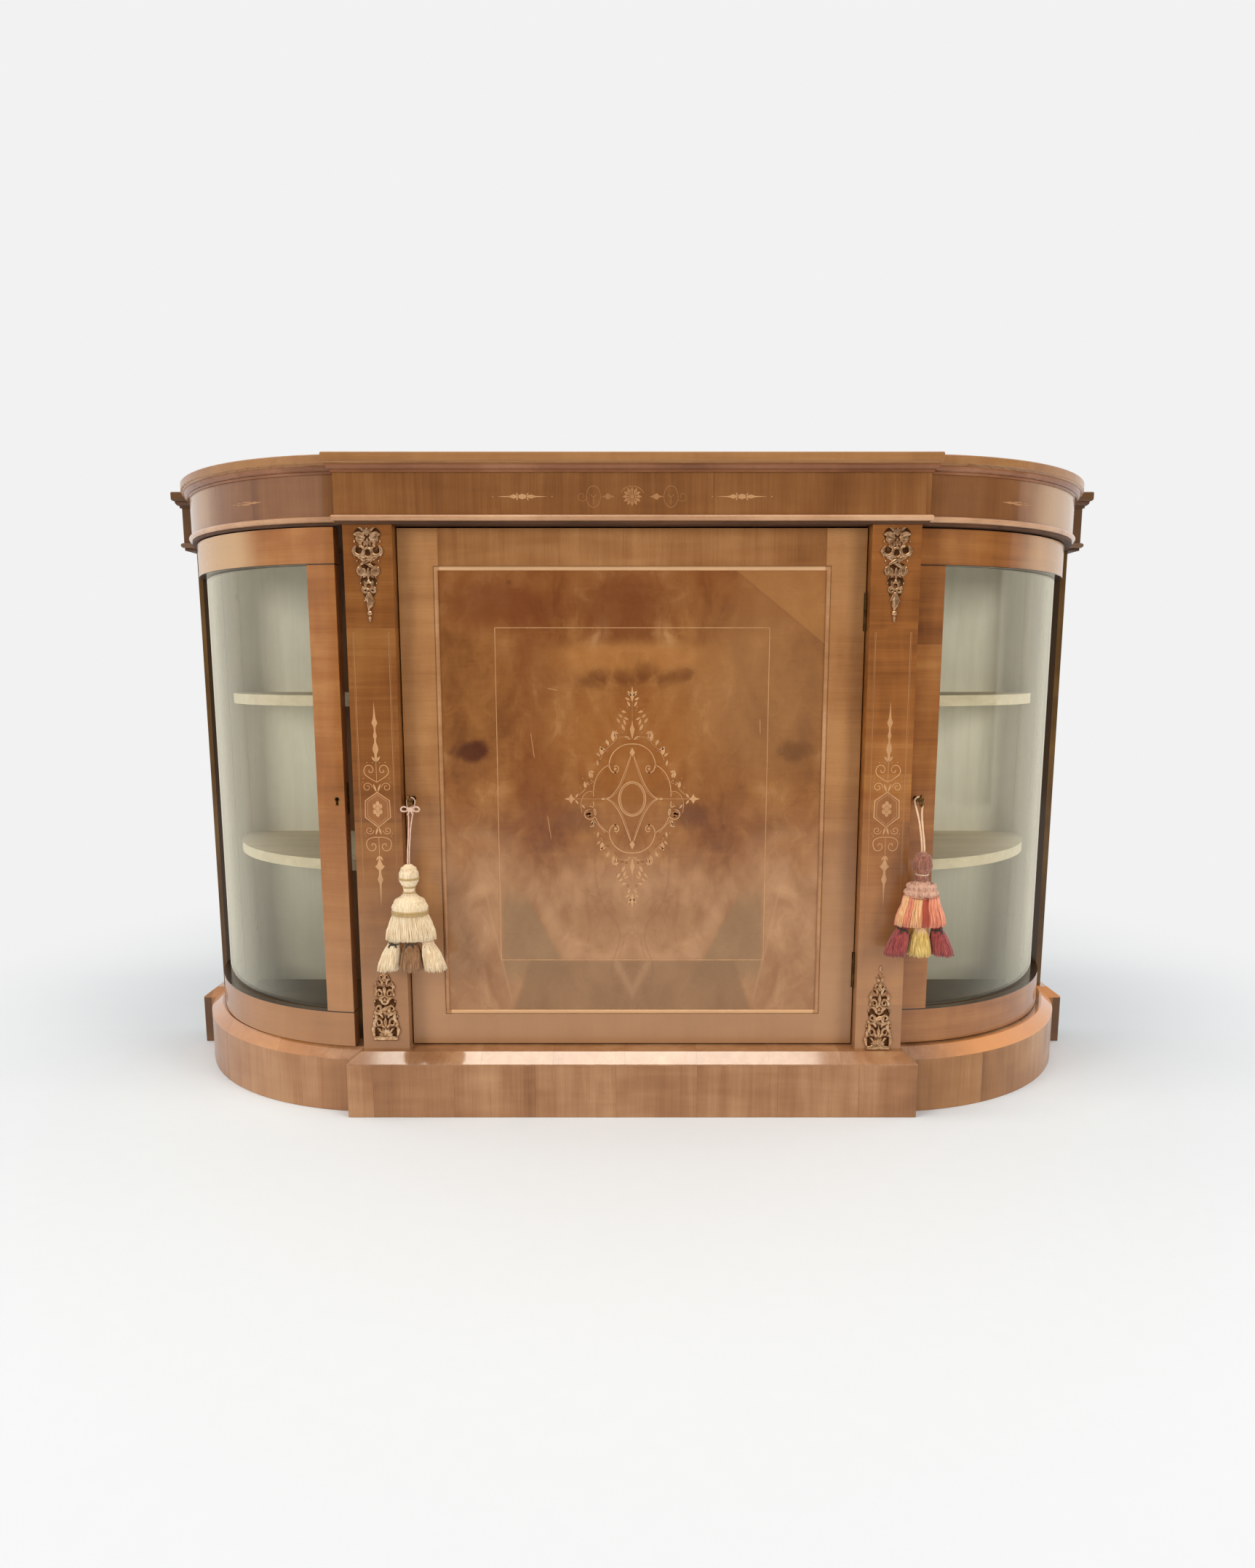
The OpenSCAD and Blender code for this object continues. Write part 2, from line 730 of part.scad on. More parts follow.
// Centre door
module centre_door_frame() color(wood) in_frame() difference() {
    translate([-door_x, door_y, door_z]) cube([2 * door_x, door_t, door_h]);
    translate([-panel_x, door_y - 1, panel_z0])
        cube([2 * panel_x, door_t + 2, panel_z1 - panel_z0]);
    translate([-panel_x - rebate_w, door_y - 1, panel_z0 - rebate_w])
        cube([2 * (panel_x + rebate_w), 1 + panel_in + panel_t,
            panel_z1 - panel_z0 + 2 * rebate_w]);
    centre_hinge_seats();
    centre_lock_place() lock_pocket();
}

module centre_door_panel() color(wood) in_frame() {
    e = rebate_w - fit;
    translate([-panel_x - e, door_y + panel_in, panel_z0 - e])
        cube([2 * (panel_x + e), panel_t, panel_z1 - panel_z0 + 2 * e]);
}

// Half-round bead laid in the corner between panel and frame, mitred
module centre_panel_bead() color(wood) in_frame() {
    x = panel_x + rebate_w - panel_bead_r - fit;
    z0 = panel_z0 - rebate_w + panel_bead_r + fit;
    z1 = panel_z1 + rebate_w - panel_bead_r - fit;
    r = panel_bead_r;
    y = door_y + panel_in;
    intersection() {
        translate([0, y, 0]) union() {
            for (z = [z0, z1]) intersection() {
                translate([-x - r, 0, z]) rotate([0, 90, 0]) cylinder(r = r, h = 2 * (x + r), $fn = 32);
                rotate([90, 0, 0]) linear_extrude(2 * r, center = true)
                    polygon([[-x - r, z + sign(z - panel_z0) * r], [x + r, z + sign(z - panel_z0) * r],
                        [x - r, z - sign(z - panel_z0) * r], [r - x, z - sign(z - panel_z0) * r]]);
            }
            for (s = [-1, 1]) intersection() {
                translate([s * x, 0, z0 - r]) cylinder(r = r, h = z1 - z0 + 2 * r, $fn = 32);
                rotate([90, 0, 0]) linear_extrude(2 * r, center = true)
                    polygon([[s * (x + r), z0 - r], [s * (x + r), z1 + r],
                        [s * (x - r), z1 - r], [s * (x - r), z0 + r]]);
            }
        }
        translate([-far / 2, y - far, 0]) cube([far, far, far]);
    }
}

// Curved doors
glass_z0 = door_z + end_low_rail;
glass_z1 = door_top - end_top_rail;

// A cut through the ring of the door, as far past the opening for the glass as e says
module glass_cut(e, r0, r1)
    end_sector(r0, r1, rear_a - e / rebate_w * rebate_a, front_a + e / rebate_w * rebate_a,
        glass_z0 - e, glass_z1 - glass_z0 + 2 * e);

module end_door_frame() difference() {
    intersection() {
        end_sector(inner_r, end_r, 1, 89, door_z, door_h);
        translate([end_edge_x, 0, door_z]) cube([far, end_edge_y, door_h]);
    }
    glass_cut(0, inner_r - 5, end_r + 5);
    glass_cut(rebate_w, inner_r - 5, glass_r);
    end_hinge_seats();
    end_lock_place() lock_pocket();
}

module end_glass() glass_cut(rebate_w - fit, glass_r - glass_t, glass_r - 0.1);

module end_glazing_bead() difference() {
    glass_cut(rebate_w - fit, inner_r, glass_r - glass_t - 0.1);
    glass_cut(0, inner_r - 5, end_r);
}

module right_door_frame() color(wood) in_frame() end_door_frame();

module right_door_glass() color([0.75, 0.85, 0.82, 0.4]) in_frame() end_glass();

module right_glazing_beads() color(wood) in_frame() end_glazing_bead();

module left_door_frame() color(wood) in_frame() left_door_place() end_door_frame();

module left_door_glass() color([0.75, 0.85, 0.82, 0.4]) in_frame() left_door_place() end_glass();

module left_glazing_beads() color(wood) in_frame() left_door_place() end_glazing_bead();

// Pierced gilt mounts, drawn flat about their top middle: pairs of scrolls and buds on a stem.
// Each row is [distance down, half spacing of the pair, outer radius], as shares of the height
// and of the width.
high_rows = [[0.09, 0.25, 0.25], [0.27, 0.22, 0.22], [0.44, 0.18, 0.19], [0.58, 0.14, 0.16],
    [0.70, 0.11, 0.13]];
low_rows = [[0.91, 0.28, 0.22], [0.74, 0.26, 0.22], [0.57, 0.22, 0.20], [0.42, 0.17, 0.17],
    [0.29, 0.12, 0.13]];

module gilt_outline(rows, h, w, tip, bud) {
    stem = w * 0.075;
    difference() {
        union() {
            for (r = rows, s = [-1, 1])
                translate([s * r[1] * w, -r[0] * h]) circle(r = r[2] * w, $fn = 32);
            translate([-stem, -h * max(rows[0][0], tip)])
                square([2 * stem, h * abs(rows[0][0] - tip)]);
            translate([0, -h * tip]) circle(r = w * bud, $fn = 32);
        }
        for (r = rows, s = [-1, 1])
            translate([s * (r[1] * w + 0.02 * w), -r[0] * h])
                circle(r = r[2] * w * 0.52, $fn = 32);
    }
}

module gilt_mounts_upper() color(gilt) in_frame() for (s = [-1, 1])
    translate([s * (pil_x0 + pilaster_w / 2), pil_y, ceiling_z - 2]) rotate([90, 0, 0])
        linear_extrude(mount_t) gilt_outline(high_rows, high_mount_h, gilt_w, 0.9, 0.12);

module gilt_mounts_lower() color(gilt) in_frame() for (s = [-1, 1])
    translate([s * (pil_x0 + pilaster_w / 2), pil_y,
        floor_z + low_mount_h + (s < 0 ? left_mount_lift : 0)]) rotate([90, 0, 0])
        linear_extrude(mount_t) gilt_outline(low_rows, low_mount_h, gilt_w, 0.09, 0.1);

// Tassels. A form is a stack of rings, lowest first, each
// [z, half width, half depth, middle x, flute depth].
function ring_points(ring, n, flutes) = [
    for (i = [0 : n - 1])
        let (a = 360 * i / n, k = 1 - ring[4] * (0.5 - 0.5 * cos(flutes * a)))
            [ring[3] + ring[1] * k * cos(a), ring[2] * k * sin(a), ring[0]]
];

function wall_faces(n, m) = [
    for (k = [0 : m - 2], i = [0 : n - 1])
        let (a = k * n + i, b = k * n + (i + 1) % n)
            each [[a, a + n, b + n], [a, b + n, b]]
];

function tube_faces(n, m) = concat(
    [[for (i = [0 : n - 1]) i]], wall_faces(n, m),
    [[for (i = [n - 1 : -1 : 0]) (m - 1) * n + i]]);

module loft(rings, n, flutes)
    polyhedron(points = [for (r = rings) each ring_points(r, n, flutes)],
        faces = tube_faces(n, len(rings)), convexity = 4);

// Head, neck, ring and upper skirt of a tassel of length l, down from the top of the head
module tassel_body(l) {
    d = tassel_half_d;
    loft([
        [-0.700 * l, 42, d, 0, 0.10],
        [-0.640 * l, 41, d, 0, 0.10],
        [-0.560 * l, 36, d * 0.97, 0, 0.07],
        [-0.490 * l, 30, d * 0.92, 0, 0.03],
        [-0.465 * l, 28, d * 0.93, 0, 0],
        [-0.400 * l, 30, d * 0.96, 0, 0],
        [-0.340 * l, 25, d * 0.84, 0, 0],
        [-0.285 * l, 14, d * 0.56, 0, 0],
        [-0.265 * l, 10, 10, 0, 0],
        [-0.205 * l, 10.5, 10.5, 0, 0],
        [-0.190 * l, head_r * 0.8, head_r * 0.8, 0, 0],
        [-0.150 * l, head_r, head_r, 0, 0],
        [-0.085 * l, head_r, head_r, 0, 0],
        [-0.035 * l, head_r * 0.8, head_r * 0.8, 0, 0],
        [-0.008 * l, head_r * 0.45, head_r * 0.45, 0, 0],
        [0, head_r * 0.35, head_r * 0.35, 0, 0]
    ], 48, 12);
}

// One of the three small tassels under the skirt: x of its top, x of its foot
module small_tassel(l, x_top, x_foot, half_w) {
    top = -0.700 * l - fit;
    d = half_w * 1.1;
    loft([
        [-l, half_w, d, x_foot, 0.14],
        [-0.94 * l, half_w * 0.98, d * 0.98, x_foot, 0.12],
        [-0.86 * l, half_w * 0.86, d * 0.86, (x_foot * 2 + x_top) / 3, 0.10],
        [-0.77 * l, half_w * 0.66, d * 0.66, (x_foot + x_top * 2) / 3, 0.06],
        [-0.73 * l, half_w * 0.45, d * 0.45, x_top, 0],
        [top, half_w * 0.5, d * 0.5, x_top, 0]
    ], 30, 10);
}

module tassel(l) {
    side_w = 18;
    side_x = 39.5;
    tassel_body(l);
    for (s = [-1, 1]) small_tassel(l, s * 26, s * side_x, side_w);
    small_tassel(l, 0, 0, 19.5);
}

// The cord's route up one side, over the shank and down the other. Points are from the
// shank's axis: [share of the spread between the legs, share of the way back that is made,
// share of the drop]. The loop over the shank is as wide as the cord bends without a kink.
cord_route = [
    [0, 0, 1], [0, 0, 0.94], [0, 0.04, 0.87], [0, 0.16, 0.74], [0, 0.32, 0.62],
    [0.03, 0.48, 0.49], [0.12, 0.64, 0.37], [0.32, 0.80, 0.26], [0.60, 0.91, 0.165],
    [0.86, 0.98, 0.08]
];
arc_steps = 10;

function cord_points(r, dy, drop) =
    let (leg = r + 0.3, bend = max(4 * r, loop_r, shank_r + 0.4 + r),
        rise = shank_r + 0.4 + r - bend,
        up = [for (p = cord_route)
            [leg + (bend - leg) * p[0], dy * (1 - p[1]), -drop * p[2]]],
        arc = [for (i = [0 : arc_steps]) let (a = 180 * i / arc_steps)
            [bend * cos(a), 0, rise + bend * sin(a)]])
    concat(up, arc, [for (i = [len(up) - 1 : -1 : 0]) [-up[i][0], up[i][1], up[i][2]]]);

function unit(v) = v / norm(v);

function tube_ring(p, t, r, n) =
    let (side = unit(cross(t, [0, 1, 0])), up = cross(side, t))
    [for (i = [0 : n - 1]) let (a = 360 * i / n) p + r * (cos(a) * side + sin(a) * up)];

// A tube along the points, with 8 sides
module cord_tube(points, r) {
    n = 8;
    last = len(points) - 1;
    polyhedron(points = [for (i = [0 : last])
        each tube_ring(points[i],
            i == 0 || i == last ? [0, 0, i == 0 ? 1 : -1]
                : unit(unit(points[i + 1] - points[i]) + unit(points[i] - points[i - 1])),
            r, n)],
        faces = tube_faces(n, last + 1), convexity = 6);
}

// Placed from the key of a lock at x, on a door face at y
module tassel_cord_at(x, y, r, drop) translate([x, y + cord_y, key_z])
    cord_tube(cord_points(r, tassel_y - y - cord_y, drop), r);

module tassel_at(x, l, drop) translate([x, tassel_y, key_z - drop]) tassel(l);

module cream_tassel_cord() color(cream) in_frame()
    tassel_cord_at(centre_key_x, door_y, cream_cord_r, cream_drop);

module cream_tassel() color(cream) in_frame() tassel_at(centre_key_x, cream_l, cream_drop);

module coral_tassel_cord() color(coral) in_frame()
    tassel_cord_at(end_key_x, end_key_y, coral_cord_r, coral_drop);

module coral_tassel() color(coral) in_frame() tassel_at(end_key_x, coral_l, coral_drop);

plinth_front();
plinth_end_left();
plinth_end_right();
plinth_back();
base_board();
upright_left();
upright_right();
front_pilaster_left();
front_pilaster_right();
rear_post_left();
rear_post_right();
back_panel_centre();
back_panel_left();
back_panel_right();
top_board();
frieze_front();
frieze_end_left();
frieze_end_right();
frieze_back();
frieze_bead();
top_moulding();
top_slab();
shelf_left_lower();
shelf_left_upper();
shelf_right_lower();
shelf_right_upper();
centre_shelf();
shelf_pegs();
gilt_mounts_upper();
gilt_mounts_lower();
door_stops();
strike_plates();
case_hinge_leaves();
hinge_pins();
centre_door_frame();
centre_door_panel();
centre_panel_bead();
centre_lock_case();
centre_lock_bolt();
centre_key();
centre_door_hinge_leaves();
cream_tassel_cord();
cream_tassel();
right_door_frame();
right_door_glass();
right_glazing_beads();
right_lock_case();
right_lock_bolt();
right_key();
right_door_hinge_leaves();
coral_tassel_cord();
coral_tassel();
left_door_frame();
left_door_glass();
left_glazing_beads();
left_lock_case();
left_lock_bolt();
left_door_hinge_leaves();
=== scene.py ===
# Looks of the breakfront credenza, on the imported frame. Metres, in the row's frame:
# +Z up, the front towards -Y. Lengths written in mm are measured back from the plinth's
# front face, as in the part's source, and at() moves them into the frame.
import math
import random
import bpy
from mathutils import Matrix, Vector


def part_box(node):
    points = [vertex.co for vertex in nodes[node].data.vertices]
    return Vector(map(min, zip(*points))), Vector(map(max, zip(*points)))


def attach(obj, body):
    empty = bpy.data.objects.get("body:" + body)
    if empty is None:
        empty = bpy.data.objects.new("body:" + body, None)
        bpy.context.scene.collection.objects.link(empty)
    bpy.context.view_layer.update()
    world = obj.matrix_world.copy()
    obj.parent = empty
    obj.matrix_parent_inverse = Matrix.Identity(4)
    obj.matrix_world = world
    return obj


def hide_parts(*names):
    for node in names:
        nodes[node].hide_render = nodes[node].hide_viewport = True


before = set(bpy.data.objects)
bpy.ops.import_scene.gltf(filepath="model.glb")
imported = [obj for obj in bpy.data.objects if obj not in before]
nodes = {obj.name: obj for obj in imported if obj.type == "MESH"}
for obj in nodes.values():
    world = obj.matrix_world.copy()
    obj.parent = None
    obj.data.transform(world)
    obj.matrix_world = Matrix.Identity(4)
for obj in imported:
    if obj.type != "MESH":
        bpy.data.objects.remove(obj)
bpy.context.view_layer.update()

scene = bpy.context.scene
scene.view_settings.view_transform = "Standard"
pi = math.pi

# Sizes of the part, mm
CASE_D = 440
DOOR_Y = 53
PIL_Y = 28
FRIEZE_Y = 24
PANEL_Y = 54
PIL_X = 413.5
END_CX = 426
END_R = 387
FRIEZE_R = 400
FRIEZE_Z = 1006
KEY_Z = 532
CENTRE_KEY_X = -360
END_KEY_X = 467
END_KEY_Y = CASE_D - math.sqrt(END_R ** 2 - (END_KEY_X - END_CX) ** 2)
SHANK = 22              # how far a key's loop of cord stands off the door
TASSEL_Y = PIL_Y - 5 - 1 - 24
CREAM_DROP, CREAM_L = 100, 176
CORAL_DROP, CORAL_L = 80, 171
LEFT_LIFT = 17
AJAR = 2.6              # degrees
HINGE = (-810.49, 389)  # axis of the left door
MOUNT_W, MOUNT_H = 43, 148
LOWER_ROWS_H = 134      # height in which the lower mount is drawn, before its stretch

# Where the looks change on the part, metres
POST_X0 = 0.7700        # inner face of a rear post
LIP = 0.5078            # rebate of a curved door's rear stile, along the face
EAR_TOP, EAR_LOW = 0.828, 0.8455
LINED_R = 0.3600        # radius of the lined room inside a D-end
LINED_Y = 0.2140        # the lining ends in the thickness of the back panels
REAR_Y = CASE_D / 2000


def at(x, y, z):
    return (x / 1000, (y - CASE_D / 2) / 1000, z / 1000)


# Camera, at the photograph's viewing angle
camera = bpy.data.cameras.new("camera")
camera.sensor_fit = "VERTICAL"
camera.sensor_height = 36
camera.lens = 23.377
camera.shift_x = -0.003
camera.shift_y = 0.0305
view = bpy.data.objects.new("camera", camera)
scene.collection.objects.link(view)
view.location = (0, -1.833, 0.736)
view.rotation_euler = (math.radians(90 - 8.862), 0, 0)
scene.camera = view


# ---------------------------------------------------------------- mesh code
def angles(n, closed=False):
    """n equal steps round a circle, and the first once more where it is closed."""
    return [2 * pi * i / n for i in range(n + closed)]


class Shape:
    """Collects vertices and faces, each face with a material number."""

    def __init__(self):
        self.verts, self.faces, self.mats = [], [], []

    def add(self, verts, faces, mat=0):
        n = len(self.verts)
        self.verts += [tuple(v) for v in verts]
        self.faces += [tuple(n + i for i in f) for f in faces]
        self.mats += [mat] * len(faces)

    def rings(self, rings, mat=0, caps=True):
        """A skin over closed rings of points, all of one length."""
        n = len(rings[0])
        verts = [p for ring in rings for p in ring]
        faces = [(k * n + i, k * n + (i + 1) % n, (k + 1) * n + (i + 1) % n, (k + 1) * n + i)
                 for k in range(len(rings) - 1) for i in range(n)]
        if caps:
            faces += [tuple(reversed(range(n))), tuple(range(len(verts) - n, len(verts)))]
        self.add(verts, faces, mat)

    def tube(self, points, radius, sides=6, mat=0, lobes=0, pitch=1.0, depth=0.0):
        """A tube along points. radius is a number or one per point. Lobes twist along it."""
        pts = [Vector(p) for p in points]
        radii = radius if isinstance(radius, (list, tuple)) else [radius] * len(pts)
        rings, run, side = [], 0.0, None
        for i, p in enumerate(pts):
            t = (pts[min(i + 1, len(pts) - 1)] - pts[max(i - 1, 0)]).normalized()
            if side is None:
                side = t.cross(Vector((0, 1, 0)) if abs(t.y) < 0.9 else Vector((1, 0, 0)))
            side = (side - t * side.dot(t)).normalized()
            up = side.cross(t)
            if i:
                run += (p - pts[i - 1]).length
            ring = []
            for a in angles(sides):
                r = radii[i]
                if lobes:
                    r *= 1 - depth * (0.5 - 0.5 * math.cos(lobes * (a + 2 * pi * run / pitch)))
                ring.append(p + side * (r * math.cos(a)) + up * (r * math.sin(a)))
            rings.append(ring)
        self.rings(rings, mat)

    def piece(self, name, materials, smooth=False):
        mesh = bpy.data.meshes.new(name)
        mesh.from_pydata(self.verts, [], self.faces)
        for m in materials:
            mesh.materials.append(m)
        mesh.polygons.foreach_set("material_index", self.mats)
        mesh.polygons.foreach_set("use_smooth", [smooth] * len(self.faces))
        mesh.update()
        piece = bpy.data.objects.new(name, mesh)
        scene.collection.objects.link(piece)
        return piece

    def build(self, name, body, slot, materials, smooth=True, replaces=()):
        piece = self.piece(name, materials, smooth)
        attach(piece, body)
        if replaces:
            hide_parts(*replaces)
        return piece


def smoothed(points, steps):
    """The points joined by a Catmull-Rom curve."""
    pts = [Vector(p) for p in points]
    out = []
    for i in range(len(pts) - 1):
        a, b, c, d = pts[max(i - 1, 0)], pts[i], pts[i + 1], pts[min(i + 2, len(pts) - 1)]
        for k in range(steps):
            t = k / steps
            out.append(0.5 * (2 * b + (c - a) * t + (2 * a - 5 * b + 4 * c - d) * t * t
                              + (3 * b - a - 3 * c + d) * t ** 3))
    return out + [pts[-1]]


# ---------------------------------------------------------------- node code
def rgb(r, g, b):
    """A linear colour, from one of 0 to 255."""
    def linear(c):
        c /= 255
        return c / 12.92 if c <= 0.04045 else ((c + 0.055) / 1.055) ** 2.4
    return (linear(r), linear(g), linear(b), 1)


class Graph:
    """The shader nodes of a new material, or of the world."""

    def __init__(self, name, owner=None):
        self.owner = owner or bpy.data.materials.new(name)
        self.owner.use_nodes = True
        self.tree = self.owner.node_tree
        self.tree.nodes.clear()

    def node(self, kind, inputs=None, **settings):
        n = self.tree.nodes.new("ShaderNode" + kind)
        for key, value in settings.items():
            setattr(n, key, value)
        for key, value in (inputs or {}).items():
            if isinstance(value, bpy.types.NodeSocket):
                self.tree.links.new(value, n.inputs[key])
            elif value is not None:
                n.inputs[key].default_value = value
        return n

    def math(self, op, a, b=None, c=None, clamp=False):
        return self.node("Math", {0: a, 1: b, 2: c}, operation=op, use_clamp=clamp).outputs[0]

    def fold(self, op, values):
        total = values[0]
        for v in values[1:]:
            total = self.math(op, total, v)
        return total

    def add(self, *values):
        return self.fold("ADD", values)

    def times(self, *values):
        return self.fold("MULTIPLY", values)

    def minus(self, a, b):
        return self.math("SUBTRACT", a, b)

    def over(self, a, b):
        return self.math("DIVIDE", a, b)

    def size(self, a):
        return self.math("ABSOLUTE", a)

    def most(self, a, b):
        return self.math("MAXIMUM", a, b)

    def far(self, a, b):
        """The distance that a and b make across a right angle."""
        return self.math("SQRT", self.add(self.times(a, a), self.times(b, b)))

    def vec(self, x, y, z):
        return self.node("CombineXYZ", {0: x, 1: y, 2: z}).outputs[0]

    def noise(self, vector, scale=1.0, detail=2.0, rough=0.5, warp=0.0):
        """Noise about zero, mostly from -0.5 to 0.5."""
        n = self.node("TexNoise", {"Vector": vector, "Scale": scale, "Detail": detail,
                                   "Roughness": rough, "Distortion": warp})
        return self.math("MULTIPLY_ADD", n.outputs[0], 1.8, -0.9)

    def step(self, value, lo, hi, a=0.0, b=1.0):
        return self.node("MapRange", {0: value, 1: lo, 2: hi, 3: a, 4: b},
                         interpolation_type="SMOOTHSTEP").outputs[0]

    def ramp(self, value, *stops):
        n = self.node("ValToRGB", {0: value})
        els = n.color_ramp.elements
        while len(els) < len(stops):
            els.new(0.5)
        for e, (position, colour) in zip(els, stops):
            e.position = position
            e.color = colour
        return n.outputs[0]

    def mix(self, fac, a, b):
        return self.node("Mix", {0: fac, 6: a, 7: b}, data_type="RGBA").outputs[2]

    def shaders(self, fac, a, b):
        return self.node("MixShader", {0: fac, 1: a.outputs[0], 2: b.outputs[0]}).outputs[0]

    def curve(self, value, points):
        """A smooth curve through points, over 0 to 1."""
        n = self.node("FloatCurve", {1: value})
        c = n.mapping.curves[0]
        c.points[0].location = points[0]
        c.points[1].location = points[-1]
        for p in points[1:-1]:
            c.points.new(*p)
        n.mapping.update()
        return n.outputs[0]

    def seen(self):
        """1 for rays that show a surface itself, 0 for those by which it lights others."""
        rays = self.node("LightPath").outputs
        return self.most(rays["Is Camera Ray"],
                         self.most(rays["Is Glossy Ray"], rays["Is Transmission Ray"]))

    def finish(self, colour, roughness, height, depth, strength, **constants):
        """A principled surface with a bump of a height."""
        inputs = {"Base Color": colour, "Roughness": roughness}
        inputs.update({k.replace("_", " "): v for k, v in constants.items()})
        inputs["Normal"] = self.node("Bump", {"Strength": strength, "Distance": depth,
                                              "Height": height}).outputs[0]
        return self.out(self.node("BsdfPrincipled", inputs).outputs[0])

    def out(self, shader, kind="OutputMaterial"):
        self.node(kind, {"Surface": shader})
        return self.owner


LINING = rgb(240, 234, 216)     # the pale paper in the cupboards


def place(g, centre=None, side=1):
    """x or, about a centre, the run of the arc; the depth; and the height."""
    p = g.node("SeparateXYZ", {0: g.node("TexCoord").outputs["Object"]}).outputs
    if centre is None:
        return p[0], p[1], p[2]
    x = g.times(g.minus(p[0], centre[0]), side)
    y = g.minus(centre[1], p[1])
    return g.times(g.math("ARCTAN2", x, y), END_R / 1000), g.far(x, y), p[2]


def from_axis(g, x, y):
    """How far a point lies from the axis of the nearer D-end."""
    return g.far(g.most(g.minus(g.size(x), END_CX / 1000), 0.0), g.minus(REAR_Y, y))


def walnut(name, tones, fibre="up", centre=None, side=1, leaf=0.1, leaves=0.5, flame=0.5,
           gloss=0.35, seed=0.0, low=0.35, seam=0.35, stiles=None, foot=0.0, bleach=None,
           ear=None, lip=None, cloudy=0.42):
    """French polished veneer, in a dark, a middle and a light tone. leaf is the width of a
    leaf, laid side by side across the fibre. The fibre turns level beyond stiles, a distance
    from the middle. foot is how strongly a painted reflection of the pale floor lightens the
    lower part. bleach is how strongly a painted reflection of the bright side lightens the
    upper curved end of the case, and from what run. The rear ears beyond ear are darkened by
    painted shade and dust, and the rebate of the rear stile is dark at lip, a run."""
    g = Graph(name)
    u, w, v = place(g, centre, side)
    run, high = u, v
    if fibre == "along":
        u, v = v, u
    if stiles:
        past = g.step(g.size(u), stiles, stiles + 0.0002)
        here = g.minus(1.0, past)
        u, v = (g.add(g.times(u, here), g.times(v, past)),
                g.add(g.times(v, here), g.times(u, past)))
    turn = g.add(g.over(u, leaf), seed)
    lot = g.node("TexWhiteNoise", {"W": g.math("FLOOR", turn)}, noise_dimensions="1D")
    lot = g.minus(lot.outputs[0], 0.5)
    off = g.times(lot, 9.0)

    def stretched(across, along):
        return g.vec(g.math("MULTIPLY_ADD", u, across, off), g.times(w, across),
                     g.math("MULTIPLY_ADD", v, along, off))

    cloud = g.noise(stretched(8, 5), 1, 2, 0.5, 0.4)
    bands = g.noise(stretched(46, 2.6), 1, 3, 0.5, 0.7)
    fibres = g.noise(stretched(420, 10), 1, 2, 0.6)
    ripple = g.noise(stretched(9, 46), 1, 2, 0.5, 0.3)
    pores = g.step(g.noise(stretched(1500, 70), 1, 1, 0.5), 0.18, 0.5)
    tone = g.add(0.5, g.times(cloud, cloudy), g.times(bands, 0.57 * cloudy),
                 g.times(fibres, 0.12), g.times(ripple, 0.20 * flame),
                 g.times(lot, 0.30 * leaves))
    if stiles:
        tone = g.add(tone, g.times(past, 0.17))
    dark, mid, light = tones
    colour = g.ramp(tone, (0.16, dark), (0.5, mid), (0.84, light))
    colour = g.mix(g.times(pores, 0.20), colour, rgb(70, 38, 20))
    # The joint between two leaves
    edge = g.size(g.minus(g.math("FRACT", turn), 0.5))
    joint = g.step(edge, 0.5 - 0.0006 / leaf, 0.5 - 0.0001 / leaf)
    colour = g.mix(g.times(joint, seam), colour, rgb(66, 36, 20))
    # Polish: smudged by hands, lightened below by a painted reflection of the floor, and rougher
    # where it is knocked at the floor
    smudge = g.noise(g.vec(g.times(u, 11), g.times(w, 11), g.times(v, 11)), 1, 3, 0.6)
    if foot:
        pale = g.step(g.add(high, g.times(smudge, 0.08), g.times(cloud, 0.10)), 0.56, 0.16)
        colour = g.mix(g.times(pale, foot), colour, rgb(178, 136, 100))
    # Painted reflection of the bright side: the upper curved end is lightened past a run
    if bleach:
        sheen_share, start = bleach
        round_end = g.add(run, g.times(smudge, 0.03), 0.205 - start)
        pale = g.times(g.step(round_end, 0.205, 0.285), g.step(high, 0.60, 0.86),
                       g.step(round_end, 0.56, 0.38, 0.35, 1.0))
        colour = g.mix(g.times(pale, sheen_share), colour, rgb(196, 160, 118))
    # Painted shade and dust darken the rear ears
    if ear:
        wide = g.size(place(g)[0])
        colour = g.mix(g.times(g.step(wide, ear, ear + 0.0015), 0.74), colour, rgb(66, 46, 30))
    if lip:
        # The edge of the rebate, up the rear stile and along the two rails
        near = g.size(g.minus(run, lip))
        for rim in (0.1695, 0.906):
            near = g.math("MINIMUM", near, g.add(g.size(g.minus(high, rim)), 0.0007))
        colour = g.mix(g.step(near, 0.0022, 0.0014), colour, rgb(58, 40, 24))
        colour = g.mix(g.times(g.step(run, lip, lip + 0.001), 0.35), colour, rgb(84, 56, 30))
    scuff = g.times(g.step(g.add(high, g.times(smudge, 0.02)), 0.03, 0.0), low)
    colour = g.mix(g.times(scuff, 0.35), colour, rgb(176, 132, 98))
    rough = g.add(0.30, g.times(smudge, 0.10), g.times(scuff, 0.25), g.times(pores, 0.1))
    height = g.add(g.times(fibres, 0.25), g.times(pores, -0.5), g.times(joint, -1.0),
                   g.times(smudge, 0.4))
    if name == "walnut_panel_bead":
        # Its level lengths are lightened: a painted highlight
        level = g.step(g.size(place(g)[0]), 0.3075, 0.3060)
        colour = g.mix(g.times(level, 0.55), colour, rgb(228, 184, 136))
    if name == "walnut_post":
